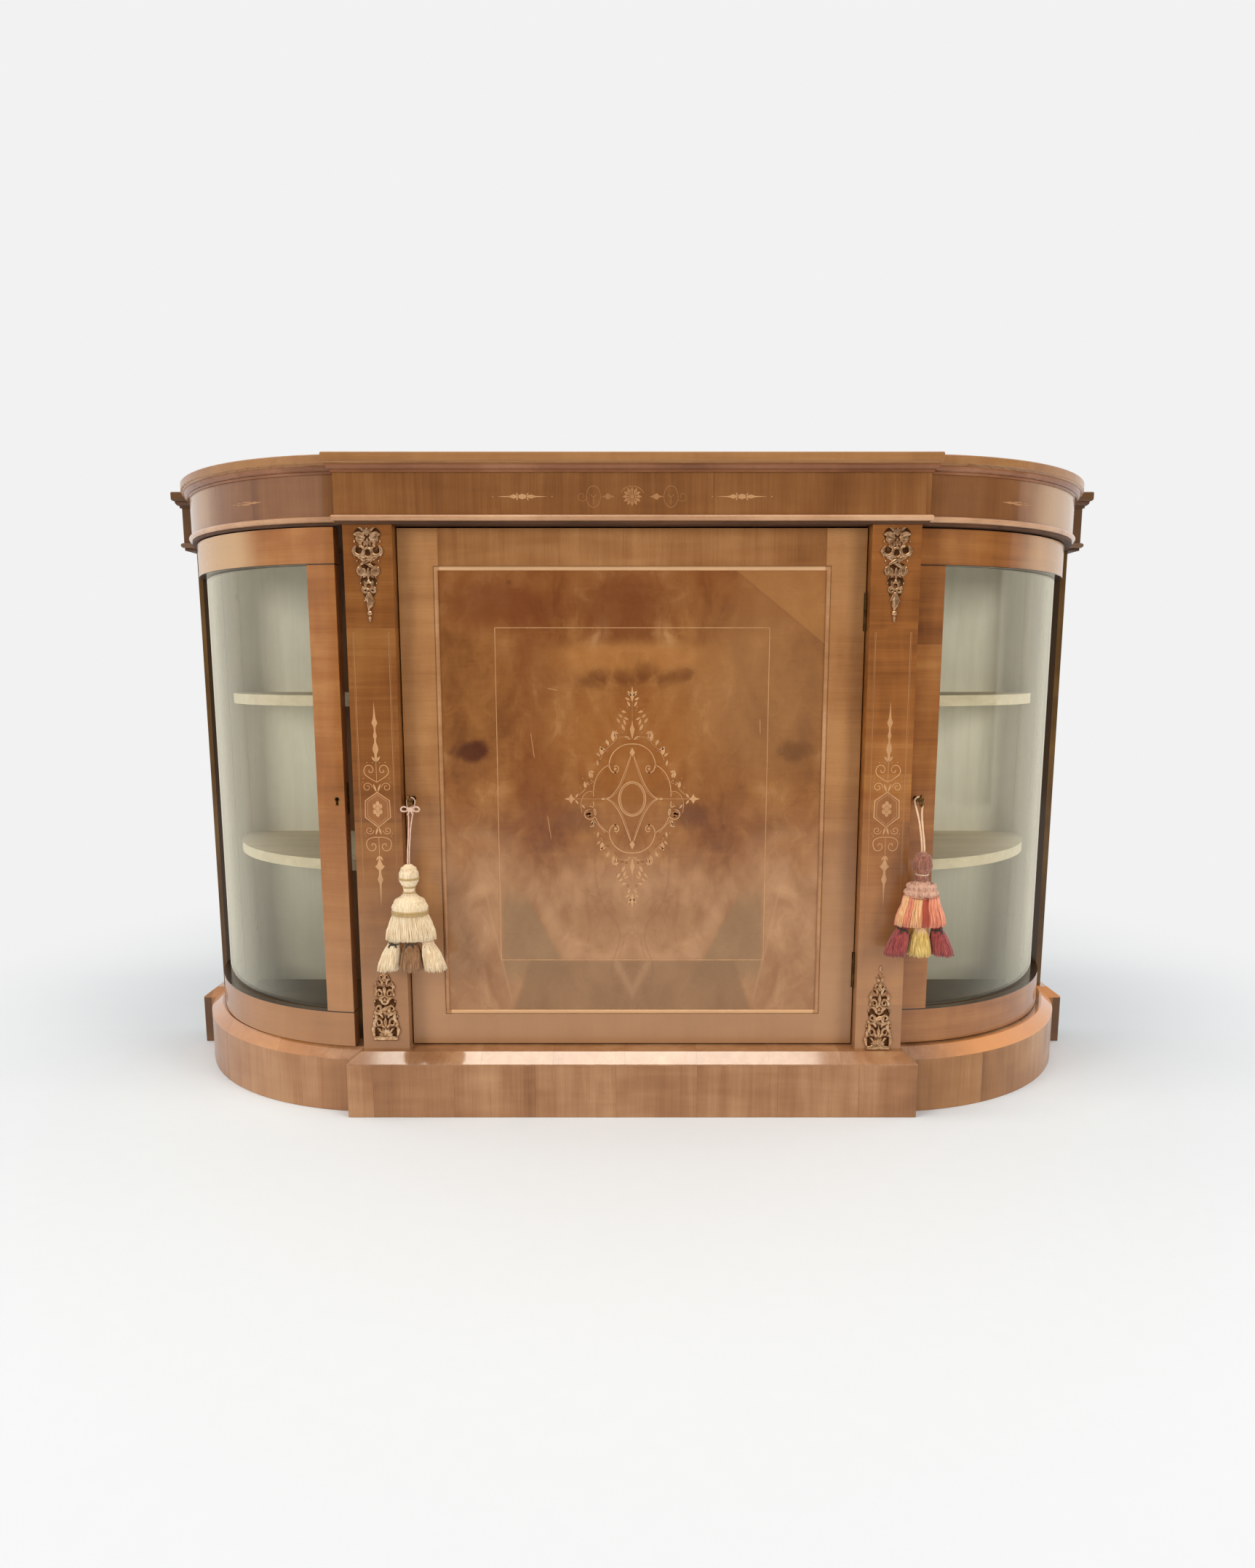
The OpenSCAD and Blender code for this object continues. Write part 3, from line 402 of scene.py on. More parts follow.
        # The cupboards are lined with pale paper
        px, py = place(g)[:2]
        inner = g.most(g.step(g.size(px), POST_X0 + 0.0012, POST_X0 + 0.0007),
                       g.step(from_axis(g, px, py), LINED_R + 0.0035, LINED_R + 0.0030))
        inner = g.times(inner, g.step(py, LINED_Y + 0.0005, LINED_Y))
        colour = g.mix(inner, colour, LINING)
        gloss = g.times(g.minus(1.0, inner), gloss)
    if name == "walnut_base_board":
        # The floor of the cupboards is stained dark, and a painted highlight warms the splay
        # round the ends
        px, py, pz = place(g)
        away = from_axis(g, px, py)
        within = g.times(g.step(away, LINED_R + 0.0005, LINED_R), g.step(pz, 0.1074, 0.1078))
        splay_highlight = g.add(g.step(px, 0.47, 0.62, 0.0, 0.85), g.step(px, -0.47, -0.62, 0.0, 0.40))
        colour = g.mix(g.times(splay_highlight, g.step(away, 0.391, 0.396)), colour, rgb(220, 144, 72))
        colour = g.mix(within, colour, g.ramp(g.add(0.5, smudge, g.times(fibres, 0.3)),
                                              (0.1, rgb(64, 42, 20)), (0.9, rgb(104, 76, 42))))
        rough = g.add(rough, g.times(within, 0.4))
        gloss = g.times(g.minus(1.0, within), gloss)
    return g.finish(colour, rough, height, 0.0004, 0.35, Coat_Weight=gloss,
                    Coat_Roughness=0.09, Coat_IOR=1.5, Specular_IOR_Level=0.25)


def burr_panel():
    """The mirrored burr veneer of the centre door."""
    g = Graph("burr_walnut")
    x, y, z = place(g)
    ax = g.size(x)
    warp = g.noise(g.vec(g.times(ax, 7), 0.0, g.times(z, 7)), 1, 3, 0.55, 0.6)
    warp2 = g.noise(g.vec(g.times(ax, 7), 4.0, g.times(z, 7)), 1, 3, 0.55, 0.6)
    bx = g.math("MULTIPLY_ADD", warp, 0.030, ax)    # mirrored
    sx = g.math("MULTIPLY_ADD", warp, 0.030, x)     # not mirrored
    bz = g.math("MULTIPLY_ADD", warp2, 0.030, z)
    cloud = g.noise(g.vec(g.times(bx, 9), 1.0, g.times(bz, 6.5)), 1, 2, 0.5, 0.8)
    swirl = g.noise(g.vec(g.times(bx, 34), 2.0, g.times(bz, 26)), 1, 4, 0.6, 1.2)
    fine = g.noise(g.vec(g.times(x, 300), 0.0, g.times(z, 60)), 1, 3, 0.6)
    cross = g.noise(g.vec(g.times(x, 30), 0.0, g.times(z, 200)), 1, 3, 0.6)
    mottle = g.noise(g.vec(g.times(bx, 20), 6.0, g.times(bz, 11)), 1, 3, 0.55, 1.0)
    tone = g.add(0.50, g.times(cloud, 0.66), g.times(mottle, 0.40), g.times(swirl, 0.26),
                 g.times(fine, 0.08), g.times(cross, 0.12))
    colour = g.ramp(tone, (0.12, rgb(106, 58, 24)), (0.42, rgb(138, 86, 42)),
                    (0.62, rgb(152, 101, 54)), (0.9, rgb(176, 128, 82)))

    def lay(mask, amount, tint):
        nonlocal colour
        colour = g.mix(g.times(mask, amount), colour, tint)

    # Spots of colour: mirrored or not, middle and half sizes, softness, raggedness, amount.
    # First the reddish head, olive flanks and an orange middle, then the dark eyes
    lay(g.step(g.add(z, g.times(warp, 0.10)), 0.80, 0.87), 0.45, rgb(124, 66, 26))
    eyes = [(sx, cx, cz, rx, 0.011, 1.5, 1.0, 0.52, (94, 48, 18)) for cx, cz, rx in (
        (-0.077, 0.719, 0.021), (-0.058, 0.731, 0.016), (-0.014, 0.731, 0.022),
        (0.018, 0.740, 0.018), (0.056, 0.727, 0.023), (0.080, 0.736, 0.012))]
    for at_x, cx, cz, rx, rz, soft, ragged, amount, tint in [
            (sx, -0.215, 0.842, 0.105, 0.036, 1.0, 0.3, 0.62, (108, 52, 20)),
            (sx, -0.015, 0.838, 0.072, 0.050, 0.9, 0.4, 0.62, (106, 52, 20)),
            (sx, -0.155, 0.755, 0.035, 0.070, 1.2, 0.4, 0.45, (112, 58, 24)),
            (sx, -0.160, 0.560, 0.034, 0.110, 1.4, 0.4, 0.40, (118, 62, 26)),
            (bx, 0.0, 0.762, 0.130, 0.026, 1.0, 0.4, 0.50, (176, 118, 62)),
            (bx, 0.0, 0.610, 0.120, 0.090, 1.3, 0.3, 0.40, (148, 86, 30)),
            (sx, 0.230, 0.700, 0.120, 0.150, 1.4, 0.3, 0.50, (156, 112, 70)),
            (sx, -0.270, 0.700, 0.070, 0.110, 1.4, 0.2, 0.30, (140, 92, 44)),
            (sx, -0.266, 0.609, 0.031, 0.018, 0.8, 0.4, 0.92, (70, 28, 14)),
            (sx, 0.264, 0.609, 0.028, 0.017, 0.9, 0.4, 0.60, (96, 62, 34)),
            (bx, 0.285, 0.590, 0.040, 0.050, 1.5, 0.5, 0.28, (108, 66, 36)), *eyes,
            (sx, 0.099, 0.500, 0.026, 0.020, 1.0, 0.4, 0.68, (88, 46, 26)),
            (sx, -0.090, 0.492, 0.034, 0.020, 1.2, 0.4, 0.50, (98, 54, 28)),
            (bx, 0.235, 0.480, 0.024, 0.020, 1.2, 0.5, 0.30, (108, 68, 38)),
            (bx, 0.140, 0.520, 0.060, 0.080, 1.6, 0.5, 0.28, (112, 62, 28))]:
        d = g.add(g.far(g.over(g.minus(at_x, cx), rx), g.over(g.minus(bz, cz), rz)),
                  g.times(swirl, ragged))
        lay(g.step(d, 1.0 + soft * 0.5, 1.0 - soft * 0.5), amount, rgb(*tint))
    # Painted reflection of the floor and the room: a paler, pinker foot with greyer wedges; and
    # pale rays
    foot = g.step(g.add(z, g.times(warp, 0.08), g.times(ax, -0.06)), 0.475, 0.375)
    foot_tone = g.add(0.46, g.times(cloud, 0.6), g.times(mottle, 0.5), g.times(swirl, 0.3))
    lay(foot, 0.84, g.ramp(foot_tone, (0.2, rgb(150, 106, 70)), (0.8, rgb(184, 140, 102))))
    slope = g.math("MULTIPLY_ADD", g.minus(z, 0.265), 0.55, 0.122)
    edge = g.minus(g.math("MULTIPLY_ADD", warp, 0.010, ax), slope)
    wedge = g.times(g.step(edge, -0.006, 0.006), g.step(ax, 0.222, 0.214),
                    g.step(z, 0.400, 0.340), g.step(z, 0.20, 0.25))
    lay(wedge, 0.64, rgb(134, 106, 74))
    ray = g.times(g.step(g.size(g.add(edge, 0.020)), 0.022, 0.0), g.step(z, 0.44, 0.36),
                  g.step(z, 0.20, 0.28))
    lay(ray, 0.18, rgb(196, 152, 116))
    band = g.times(g.step(z, 0.262, 0.252),
                   g.step(g.math("MULTIPLY_ADD", z, 0.33, ax), 0.262, 0.252))
    lay(band, 0.70, rgb(132, 98, 66))
    inner = g.times(g.step(z, 0.262, 0.250),
                    g.step(g.size(g.add(ax, g.times(z, -0.5), 0.100)), 0.012, 0.0))
    lay(inner, 0.30, rgb(188, 146, 110))
    # Joints and flame lines of the foot, seen as a vase
    t = g.math("DIVIDE", g.minus(z, 0.17), 0.31, clamp=True)
    for points, width, amount, tint, lo, hi in (
            ([(0, 0.004), (0.2, 0.034), (0.45, 0.022), (0.6, 0.050), (0.8, 0.062), (1, 0.058)],
             0.003, 0.30, (128, 90, 58), 0.20, 0.49),
            ([(0, 0.20), (0.5, 0.235), (0.7, 0.25), (0.9, 0.27), (1, 0.28)],
             0.0035, 0.35, (184, 142, 106), 0.17, 0.40)):
        away = g.over(g.add(g.minus(ax, g.curve(t, points)), g.times(warp, 0.004)), width)
        lay(g.times(g.step(g.size(away), 1.0, 0.0), g.step(z, lo, lo + 0.03),
                    g.step(z, hi, hi - 0.03)), amount, rgb(*tint))
    # A patch let in at the upper right corner
    corner = g.add(g.times(g.minus(x, 0.170), 0.80), g.minus(z, 0.893))
    lay(g.step(corner, -0.003, 0.003), 0.45, rgb(168, 116, 66))
    lay(g.step(g.size(corner), 0.004, 0.0), 0.30, rgb(112, 68, 34))
    # Scratches, from end to end, and a short dark scar
    pale_mark = (0.0009, rgb(206, 158, 112))
    for x0, z0, x1, z1, (width, tint) in (
            (-0.166, 0.642, -0.160, 0.596, pale_mark), (-0.140, 0.505, -0.134, 0.462, pale_mark),
            (-0.140, 0.712, -0.118, 0.708, pale_mark), (0.208, 0.664, 0.209, 0.636, pale_mark),
            (-0.204, 0.879, -0.190, 0.879, (0.005, rgb(92, 50, 24)))):
        dx, dz = x1 - x0, z1 - z0
        d = math.hypot(dx, dz)
        rx, rz = g.minus(x, x0), g.minus(z, z0)
        run = g.add(g.times(rx, dx / d), g.times(rz, dz / d))
        off = g.size(g.add(g.times(rx, -dz / d), g.times(rz, dx / d), g.times(fine, 0.0006)))
        on = g.times(g.step(run, 0.0, 0.006), g.step(run, d, d - 0.006))
        lay(g.times(g.step(off, width, width * 0.4), on), 0.5, tint)
    rough = g.add(0.28, g.times(warp, 0.08), g.times(swirl, 0.05))
    height = g.add(g.times(warp, 0.6), g.times(fine, 0.12), g.times(swirl, 0.2))
    return g.finish(colour, rough, height, 0.0005, 0.3, Coat_Weight=0.35,
                    Coat_Roughness=0.07, Coat_IOR=1.5, Specular_IOR_Level=0.25)


def plain_wood(name, dark, light, fibre="up", rough=0.62, gloss=0.0, behind=None,
               under=None):
    """Stained or painted solid wood. It is stained dark behind a depth, and lined pale
    under a height inside the D-ends."""
    g = Graph(name)
    px, py, pz = u, w, v = place(g)
    if fibre == "along":
        u, v = v, u
    vec = g.vec(g.times(u, 60), g.times(w, 60), g.times(v, 4))
    grain = g.noise(vec, 1, 4, 0.6, 0.6)
    fine = g.noise(vec, 8, 2, 0.6)
    dust = g.noise(g.vec(g.times(u, 9), g.times(w, 9), g.times(v, 9)), 1, 3, 0.6)
    colour = g.ramp(g.add(0.5, g.times(grain, 0.6), g.times(fine, 0.2), g.times(dust, 0.4)),
                    (0.15, dark), (0.85, light))
    if behind:
        dark_tone = g.ramp(g.add(0.5, g.times(grain, 0.6), g.times(dust, 0.4)),
                       (0.15, rgb(62, 40, 26)), (0.85, rgb(108, 74, 46)))
        # Painted shade: the paper is greyer towards the bottom
        colour = g.mix(g.step(pz, 0.66, 0.15, 0.0, 0.6), colour, rgb(186, 180, 158))
        # The backs of the boards are stained dark behind the depth, and the strip between x =
        # -0.600 and 0.585 is as dark
        dark_part = g.most(g.step(py, behind, behind + 0.0004),
                      g.times(g.step(px, -0.602, -0.600), g.step(px, 0.585, 0.583)))
        colour = g.mix(dark_part, colour, dark_tone)
    if under:
        inside = g.times(g.step(from_axis(g, px, py), LINED_R + 0.0005, LINED_R),
                         g.step(g.size(px), 0.6000, 0.6004),
                         g.step(pz, under + 0.0008, under + 0.0004),
                         g.step(py, LINED_Y + 0.0005, LINED_Y))
        colour = g.mix(inside, colour, LINING)
    return g.finish(colour, g.add(rough, g.times(dust, 0.12)),
                    g.add(grain, g.times(fine, 0.5)), 0.0006, 0.35, Coat_Weight=gloss,
                    Coat_Roughness=0.25)


def metal(name, dark, mid, light, rough, scale=90.0, tarnish=0.6):
    g = Graph(name)
    p = g.node("TexCoord").outputs["Object"]
    wear = g.noise(p, scale, 3, 0.6, 0.3)
    fine = g.noise(p, scale * 12, 2, 0.6)
    colour = g.ramp(g.add(0.5, g.times(wear, tarnish), g.times(fine, 0.15)),
                    (0.1, dark), (0.5, mid), (0.9, light))
    return g.finish(colour, g.add(rough, g.times(wear, -0.12), g.times(fine, 0.06)),
                    g.add(wear, g.times(fine, 0.4)), 0.0002, 0.4, Metallic=1.0)


def silk(name, dark, light):
    """Spun silk, with the fine lay of its threads."""
    g = Graph(name)
    x, y, z = place(g)
    lay = g.node("TexWave", {"Vector": g.vec(x, y, g.times(z, 0.7)), "Scale": 288.0,
                             "Distortion": 3.0, "Detail": 2.0, "Detail Scale": 1.2},
                 wave_type="BANDS", bands_direction="DIAGONAL").outputs[1]
    lots = g.noise(g.vec(g.times(x, 420), g.times(y, 420), g.times(z, 30)), 1, 2, 0.6)
    cloud = g.noise(g.vec(x, y, z), 60, 2, 0.5)
    colour = g.ramp(g.add(0.45, g.times(lots, 0.75), g.times(cloud, 0.3), g.times(lay, 0.12)),
                    (0.12, dark), (0.85, light))
    return g.finish(colour, g.add(0.5, g.times(lots, 0.12)), g.add(lay, g.times(lots, 1.2)),
                    0.0003, 0.5, Sheen_Weight=0.35, Sheen_Roughness=0.4)


def glass():
    """Old window glass: a faint green tint, and a sheen that Fresnel sets."""
    g = Graph("old_glass")
    p = g.node("TexCoord").outputs["Object"]
    wave = g.noise(p, 9, 2, 0.5)
    dust = g.noise(p, 60, 4, 0.65)
    bump = g.node("Bump", {"Strength": 0.25, "Distance": 0.0006, "Height": wave}).outputs[0]
    tint = g.ramp(g.add(0.5, g.times(dust, 0.4)), (0.2, (0.955, 0.965, 0.945, 1)),
                  (0.8, (0.98, 0.985, 0.97, 1)))
    clear = g.node("BsdfTransparent", {"Color": tint})
    gloss = g.node("BsdfGlossy", {"Color": (1.0, 0.945, 0.78, 1), "Normal": bump,
                                  "Roughness": g.add(0.04, g.times(dust, 0.03))})
    facing = g.node("LayerWeight", {"Blend": 0.5, "Normal": bump}).outputs["Facing"]
    share = g.math("MULTIPLY_ADD", g.math("POWER", facing, 2.9), 0.96, 0.02)
    return g.out(g.shaders(share, clear, gloss))


# ---------------------------------------------------------------- materials
def turned(x, y):
    """A point of the left door, turned about its hinge as it stands ajar."""
    a = math.radians(-AJAR)
    dx, dy = x - HINGE[0], y - HINGE[1]
    return (HINGE[0] + dx * math.cos(a) - dy * math.sin(a),
            HINGE[1] + dx * math.sin(a) + dy * math.cos(a))


def veneer(name, tones, **more):
    return walnut("walnut_" + name, tones=[rgb(*tone) for tone in tones], **more)


ajar_x, ajar_y = turned(-END_CX, CASE_D)
RIGHT = {"centre": (END_CX / 1000, REAR_Y)}
LEFT = {"centre": (-END_CX / 1000, REAR_Y), "side": -1}
LEFT_AJAR = {"centre": (ajar_x / 1000, ajar_y / 1000 - REAR_Y), "side": -1}
DOOR = {"fibre": "along", "leaf": 0.34, "leaves": 0.2, "flame": 0.8, "low": 0, "seam": 0.15}
PILASTER = {"fibre": "along", "leaf": 0.31, "leaves": 0.2, "seed": 4.4, "flame": 0.7, "low": 0,
            "seam": 0.15, "foot": 0.55}
TRIM = {"fibre": "along", "leaves": 0.2, "low": 0}
FRIEZE_END = {"leaf": 0.31, "low": 0, "gloss": 0.8, "ear": EAR_TOP, "cloudy": 0.3,
              "leaves": 0.2}
FRIEZE = ((86, 44, 18), (127, 80, 41), (158, 110, 65))
PALE = ((120, 76, 44), (162, 114, 76), (192, 148, 108))

m_frieze = veneer("frieze", FRIEZE, leaf=0.33, leaves=0.15, seed=0.62, low=0, seam=0.2,
                  cloudy=0.3, ear=EAR_TOP)
m_frieze_r = veneer("frieze_right", FRIEZE, seed=0.4, bleach=(0.55, 0.205), **RIGHT,
                    **FRIEZE_END)
m_frieze_l = veneer("frieze_left", FRIEZE, seed=5.4, bleach=(0.4, 0.26), **LEFT, **FRIEZE_END)
m_plinth = veneer("plinth", ((114, 72, 40), (156, 109, 72), (188, 144, 104)), leaf=0.135,
                  leaves=0.45, seed=7.2, flame=0.8)
m_plinth_r = veneer("plinth_right", ((116, 74, 39), (156, 109, 67), (184, 141, 96)), leaf=0.19,
                    seed=3.1, ear=EAR_LOW, leaves=0.15, **RIGHT)
m_plinth_l = veneer("plinth_left", PALE, leaf=0.19, seed=9.3, ear=EAR_LOW, **LEFT)
m_frame = veneer("door_frame", ((112, 66, 30), (148, 98, 55), (174, 124, 77)), leaf=2.0,
                 leaves=0.0, seed=2.2, flame=1.0, low=0, seam=0.15, stiles=0.309, foot=0.75)
m_pilaster_l = veneer("pilaster_left", ((84, 43, 15), (128, 76, 32), (158, 107, 55)),
                      **PILASTER)
m_pilaster_r = veneer("pilaster_right", ((94, 50, 19), (144, 88, 40), (177, 121, 65)),
                      **PILASTER)
m_door_r = veneer("right_door", ((94, 50, 18), (143, 87, 39), (176, 120, 63)), seed=1.7,
                  foot=0.18, gloss=0.55, bleach=(0.55, 0.205), lip=LIP, **RIGHT, **DOOR)
m_door_l = veneer("left_door", ((112, 64, 26), (152, 94, 44), (182, 126, 72)), seed=6.7,
                  foot=0.5, gloss=0.4, bleach=(0.8, 0.165),
                  lip=LIP + math.radians(AJAR) * END_R / 1000, **LEFT_AJAR, **DOOR)
m_top = veneer("top", ((112, 70, 38), (150, 104, 62), (180, 134, 86)), fibre="along",
               leaf=0.24, leaves=0.5, seed=3.6, low=0, cloudy=0.22, ear=EAR_TOP)
m_splay = veneer("base_board", PALE, leaf=0.12, leaves=0.4, seed=8.1, low=0, ear=EAR_LOW,
                 gloss=1.0)
m_bead = veneer("bead", ((150, 102, 66), (188, 142, 104), (214, 172, 136)), leaf=0.6,
                seed=3.3, gloss=0.8, ear=EAR_TOP, **TRIM)
m_lip = veneer("panel_bead", ((132, 86, 48), (168, 118, 74), (200, 152, 110)), leaf=0.6,
               seed=1.3, gloss=0.8, **TRIM)
m_moulding = veneer("moulding", ((100, 58, 34), (136, 88, 58), (164, 116, 84)), leaf=0.5,
                    seed=2.3, ear=EAR_TOP, **TRIM)
# The rear posts' dark tones are painted shade
m_post = veneer("post", ((62, 40, 16), (94, 66, 30), (130, 98, 52)), leaf=0.09, leaves=0.4,
                low=0, seed=1.3)
m_burr = burr_panel()

DARK = (rgb(52, 32, 20), rgb(96, 62, 38))
m_dark_along = plain_wood("stained_carcass_along", *DARK, "along")
m_ceiling = plain_wood("stained_top_board", *DARK, "along", under=0.965)
m_back = plain_wood("stained_back", rgb(62, 40, 26), rgb(108, 74, 46), "up", 0.7)
m_pale = plain_wood("lined_panel", rgb(232, 225, 205), rgb(248, 243, 227), "up", 0.75,
                    behind=0.2100)
m_inside = plain_wood("worn_upright", rgb(66, 43, 28), rgb(116, 80, 50), "up", 0.7)
m_shelf = plain_wood("lined_shelf", rgb(196, 180, 150), rgb(224, 209, 180), "along", 0.7)
m_inlay = plain_wood("boxwood_inlay", rgb(172, 120, 74), rgb(208, 160, 112), "up", 0.35, 0.5)
m_string = plain_wood("worn_stringing", rgb(146, 97, 56), rgb(178, 127, 80), "up", 0.35, 0.5)
m_stained = plain_wood("stained_ground", rgb(128, 76, 36), rgb(156, 102, 54), "up", 0.45, 0.1)
m_gilt = metal("gilt_bronze", rgb(128, 88, 58), rgb(212, 168, 126), rgb(248, 218, 182), 0.38,
               140, 0.8)
m_ground = metal("dull_bronze", rgb(72, 44, 24), rgb(112, 74, 46), rgb(150, 108, 72), 0.6, 160)
m_hinge = metal("dull_brass", rgb(44, 32, 18), rgb(86, 64, 36), rgb(130, 100, 60), 0.5)
m_brass = metal("old_brass", rgb(70, 50, 28), rgb(128, 96, 54), rgb(178, 146, 94), 0.42)
m_steel = metal("worn_steel", rgb(60, 56, 52), rgb(120, 114, 104), rgb(170, 164, 154), 0.4)
m_glass = glass()
(m_cream, m_khaki, m_brown, m_tie, m_bow, m_rope, m_rose, m_umber, m_coral, m_peach, m_red,
 m_gold, m_wine) = [silk(name, rgb(*dark), rgb(*light)) for name, dark, light in (
     ("cream_silk", (214, 180, 134), (255, 238, 206)),
     ("khaki_silk", (164, 132, 80), (206, 176, 120)),
     ("brown_silk", (112, 74, 44), (184, 138, 96)),
     ("dark_tie", (34, 26, 20), (70, 52, 38)),
     ("pink_cord", (206, 162, 140), (240, 208, 188)),
     ("coral_rope", (206, 162, 126), (240, 206, 172)),
     ("rose_silk", (158, 106, 86), (232, 186, 158)),
     ("umber_silk", (84, 42, 36), (184, 122, 96)),
     ("coral_silk", (200, 96, 66), (255, 176, 138)),
     ("peach_silk", (214, 136, 80), (255, 212, 158)),
     ("red_silk", (150, 52, 34), (204, 92, 62)),
     ("gold_silk", (184, 138, 56), (252, 224, 138)),
     ("wine_silk", (88, 20, 24), (192, 88, 82)))]

LOOK = (
    (m_plinth, "plinth_front"), (m_plinth_l, "plinth_end_left"),
    (m_plinth_r, "plinth_end_right"), (m_splay, "base_board"),
    (m_dark_along, "plinth_back frieze_back centre_shelf door_stops"),
    (m_inside, "upright_left upright_right"), (m_pilaster_l, "front_pilaster_left"),
    (m_pilaster_r, "front_pilaster_right"), (m_post, "rear_post_left rear_post_right"),
    (m_back, "back_panel_centre"), (m_pale, "back_panel_left back_panel_right"),
    (m_ceiling, "top_board"), (m_frieze, "frieze_front"), (m_frieze_l, "frieze_end_left"),
    (m_frieze_r, "frieze_end_right"), (m_bead, "frieze_bead"), (m_moulding, "top_moulding"),
    (m_top, "top_slab"), (m_frame, "centre_door_frame"), (m_burr, "centre_door_panel"),
    (m_lip, "centre_panel_bead"), (m_gilt, "gilt_mounts_upper gilt_mounts_lower"),
    (m_shelf, "shelf_left_lower shelf_left_upper shelf_right_lower shelf_right_upper"),
    (m_brass, "shelf_pegs strike_plates centre_lock_case right_lock_case left_lock_case"
              " centre_key right_key"),
    (m_steel, "centre_lock_bolt right_lock_bolt left_lock_bolt"),
    (m_hinge, "case_hinge_leaves hinge_pins centre_door_hinge_leaves"
              " right_door_hinge_leaves left_door_hinge_leaves"),
    (m_door_r, "right_door_frame right_glazing_beads"),
    (m_door_l, "left_door_frame left_glazing_beads"),
    (m_glass, "right_door_glass left_door_glass"),
    (m_cream, "cream_tassel"), (m_bow, "cream_tassel_cord"),
    (m_coral, "coral_tassel"), (m_rope, "coral_tassel_cord"),
)
SHARP = ("shelf_pegs", "hinge_pins", "right_door_glass", "left_door_glass", "cream_tassel",
         "cream_tassel_cord", "coral_tassel", "coral_tassel_cord")
for material, name in [(m, name) for m, names in LOOK for name in names.split()]:
    node = nodes[name]
    if not node.material_slots:
        node.data.materials.append(material)
    for s in node.material_slots:
        s.material = material
    if name not in SHARP:
        bevel = node.modifiers.new("edge", "BEVEL")
        bevel.width = 0.0006
        bevel.segments = 2
        bevel.limit_method = "ANGLE"
        bevel.angle_limit = math.radians(38)
        bevel.use_clamp_overlap = True


# ---------------------------------------------------------------- cords
ROUTE = [(0, 0, 1), (0, 0, 0.94), (0, 0.04, 0.87), (0, 0.16, 0.74), (0, 0.32, 0.62),
         (0.03, 0.48, 0.49), (0.12, 0.64, 0.37), (0.32, 0.80, 0.26), (0.60, 0.91, 0.165),
         (0.86, 0.98, 0.08)]


def cord_route(x, y, r, drop):
    """Up from the tassel's head, over the shank of the key and down again."""
    leg, bend = r + 0.3, max(4 * r, 6.6, 2.5 + 0.4 + r)
    rise, back = 2.5 + 0.4 + r - bend, TASSEL_Y - y + SHANK
    up = [(leg + (bend - leg) * a, back * (1 - b), -drop * c) for a, b, c in ROUTE]
    arc = [(bend * math.cos(pi * i / 10), 0, rise + bend * math.sin(pi * i / 10))
           for i in range(11)]
    down = [(-p[0], p[1], p[2]) for p in reversed(up)]
    return [at(x + p[0], y - SHANK + p[1], KEY_Z + p[2]) for p in up + arc + down]


def rope(name, body, slot, material, node, x, y, r, drop):
    """The cord, its path and its length."""
    path = cord_route(x, y, r, drop)
    shape = Shape()
    shape.tube(smoothed(path, 9), r / 1000, 12, 0, 3, r * 0.0075, 0.26)
    piece = shape.build(name, body, slot, [material], replaces=[node])
    length = sum((Vector(b) - Vector(a)).length for a, b in zip(path, path[1:]))
    return piece, path, length


def bow(name, body, slot, material, x, y, z):
    """A small bow tied round both legs of the cord, in front of them."""
    shape = Shape()
    for s in (-1, 1):
        loop = [(0, 0, 0), (s * 4, -1.2, 2.4), (s * 9.5, -1.8, 4.6), (s * 14.2, -1.2, 2.2),
                (s * 14.4, -0.4, -2.0), (s * 9.5, 0.2, -3.4), (s * 4, 0, -1.8), (0, 0, 0)]
        end = [(s * 0.8, -1.0, -2.0), (s * 2.6, -1.4, -5.5), (s * 4.6, -1.2, -9.0)]
        for points, out, steps, radii, sides in (
                (loop, 3.6, 6, 0.0015, 10), (end, 3.2, 5, [0.0012] * 10 + [0.0016], 8)):
            route = [at(x + p[0], y - out + p[1], z + p[2]) for p in points]
            shape.tube(smoothed(route, steps), radii, sides, 0, 3, 0.008, 0.24)
    for k in range(3):
        shape.tube([at(x + 6.1 * math.cos(a), y + 3.9 * math.sin(a),
                       z - 2.6 + 2.5 * k + 0.5 * math.sin(2 * a)) for a in angles(24, True)],
                   0.0013, 8, 0, 3, 0.006, 0.2)
    return shape.build(name, body, slot, [material])


cream_cord, cream_path, cream_len = rope(
    "cream_cord", "cream_tassel_on_cord", "cream_silk", m_bow, "cream_tassel_cord",
    CENTRE_KEY_X, DOOR_Y, 1.1, CREAM_DROP)
coral_cord, coral_path, coral_len = rope(
    "coral_cord", "coral_tassel_on_cord", "coral_silk", m_rope, "coral_tassel_cord",
    END_KEY_X, END_KEY_Y, 1.7, CORAL_DROP)
cream_bow = bow("cream_bow", "cream_tassel_on_cord", "cream_silk", m_bow,
                CENTRE_KEY_X, DOOR_Y - SHANK - 3.0, KEY_Z - 14.5)


# ---------------------------------------------------------------- tassels
SKIRT_RADII = [0.0009, 0.00105, 0.0011, 0.0011, 0.0011, 0.00105, 0.0007]
SMALL_RADII = [0.0006, 0.0007, 0.00085, 0.00095, 0.00095, 0.0009, 0.0006]


def table(rows, z):
    """Half width and half depth of a form at z, from rows of them, lowest first."""
    if z <= rows[0][0]:
        return rows[0][1], rows[0][2]
    for a, b in zip(rows, rows[1:]):
        if z <= b[0]:
            t = (z - a[0]) / (b[0] - a[0])
            t = t * t * (3 - 2 * t)
            return a[1] + (b[1] - a[1]) * t, a[2] + (b[2] - a[2]) * t
    return rows[-1][1], rows[-1][2]


def upright(z):
    return 0


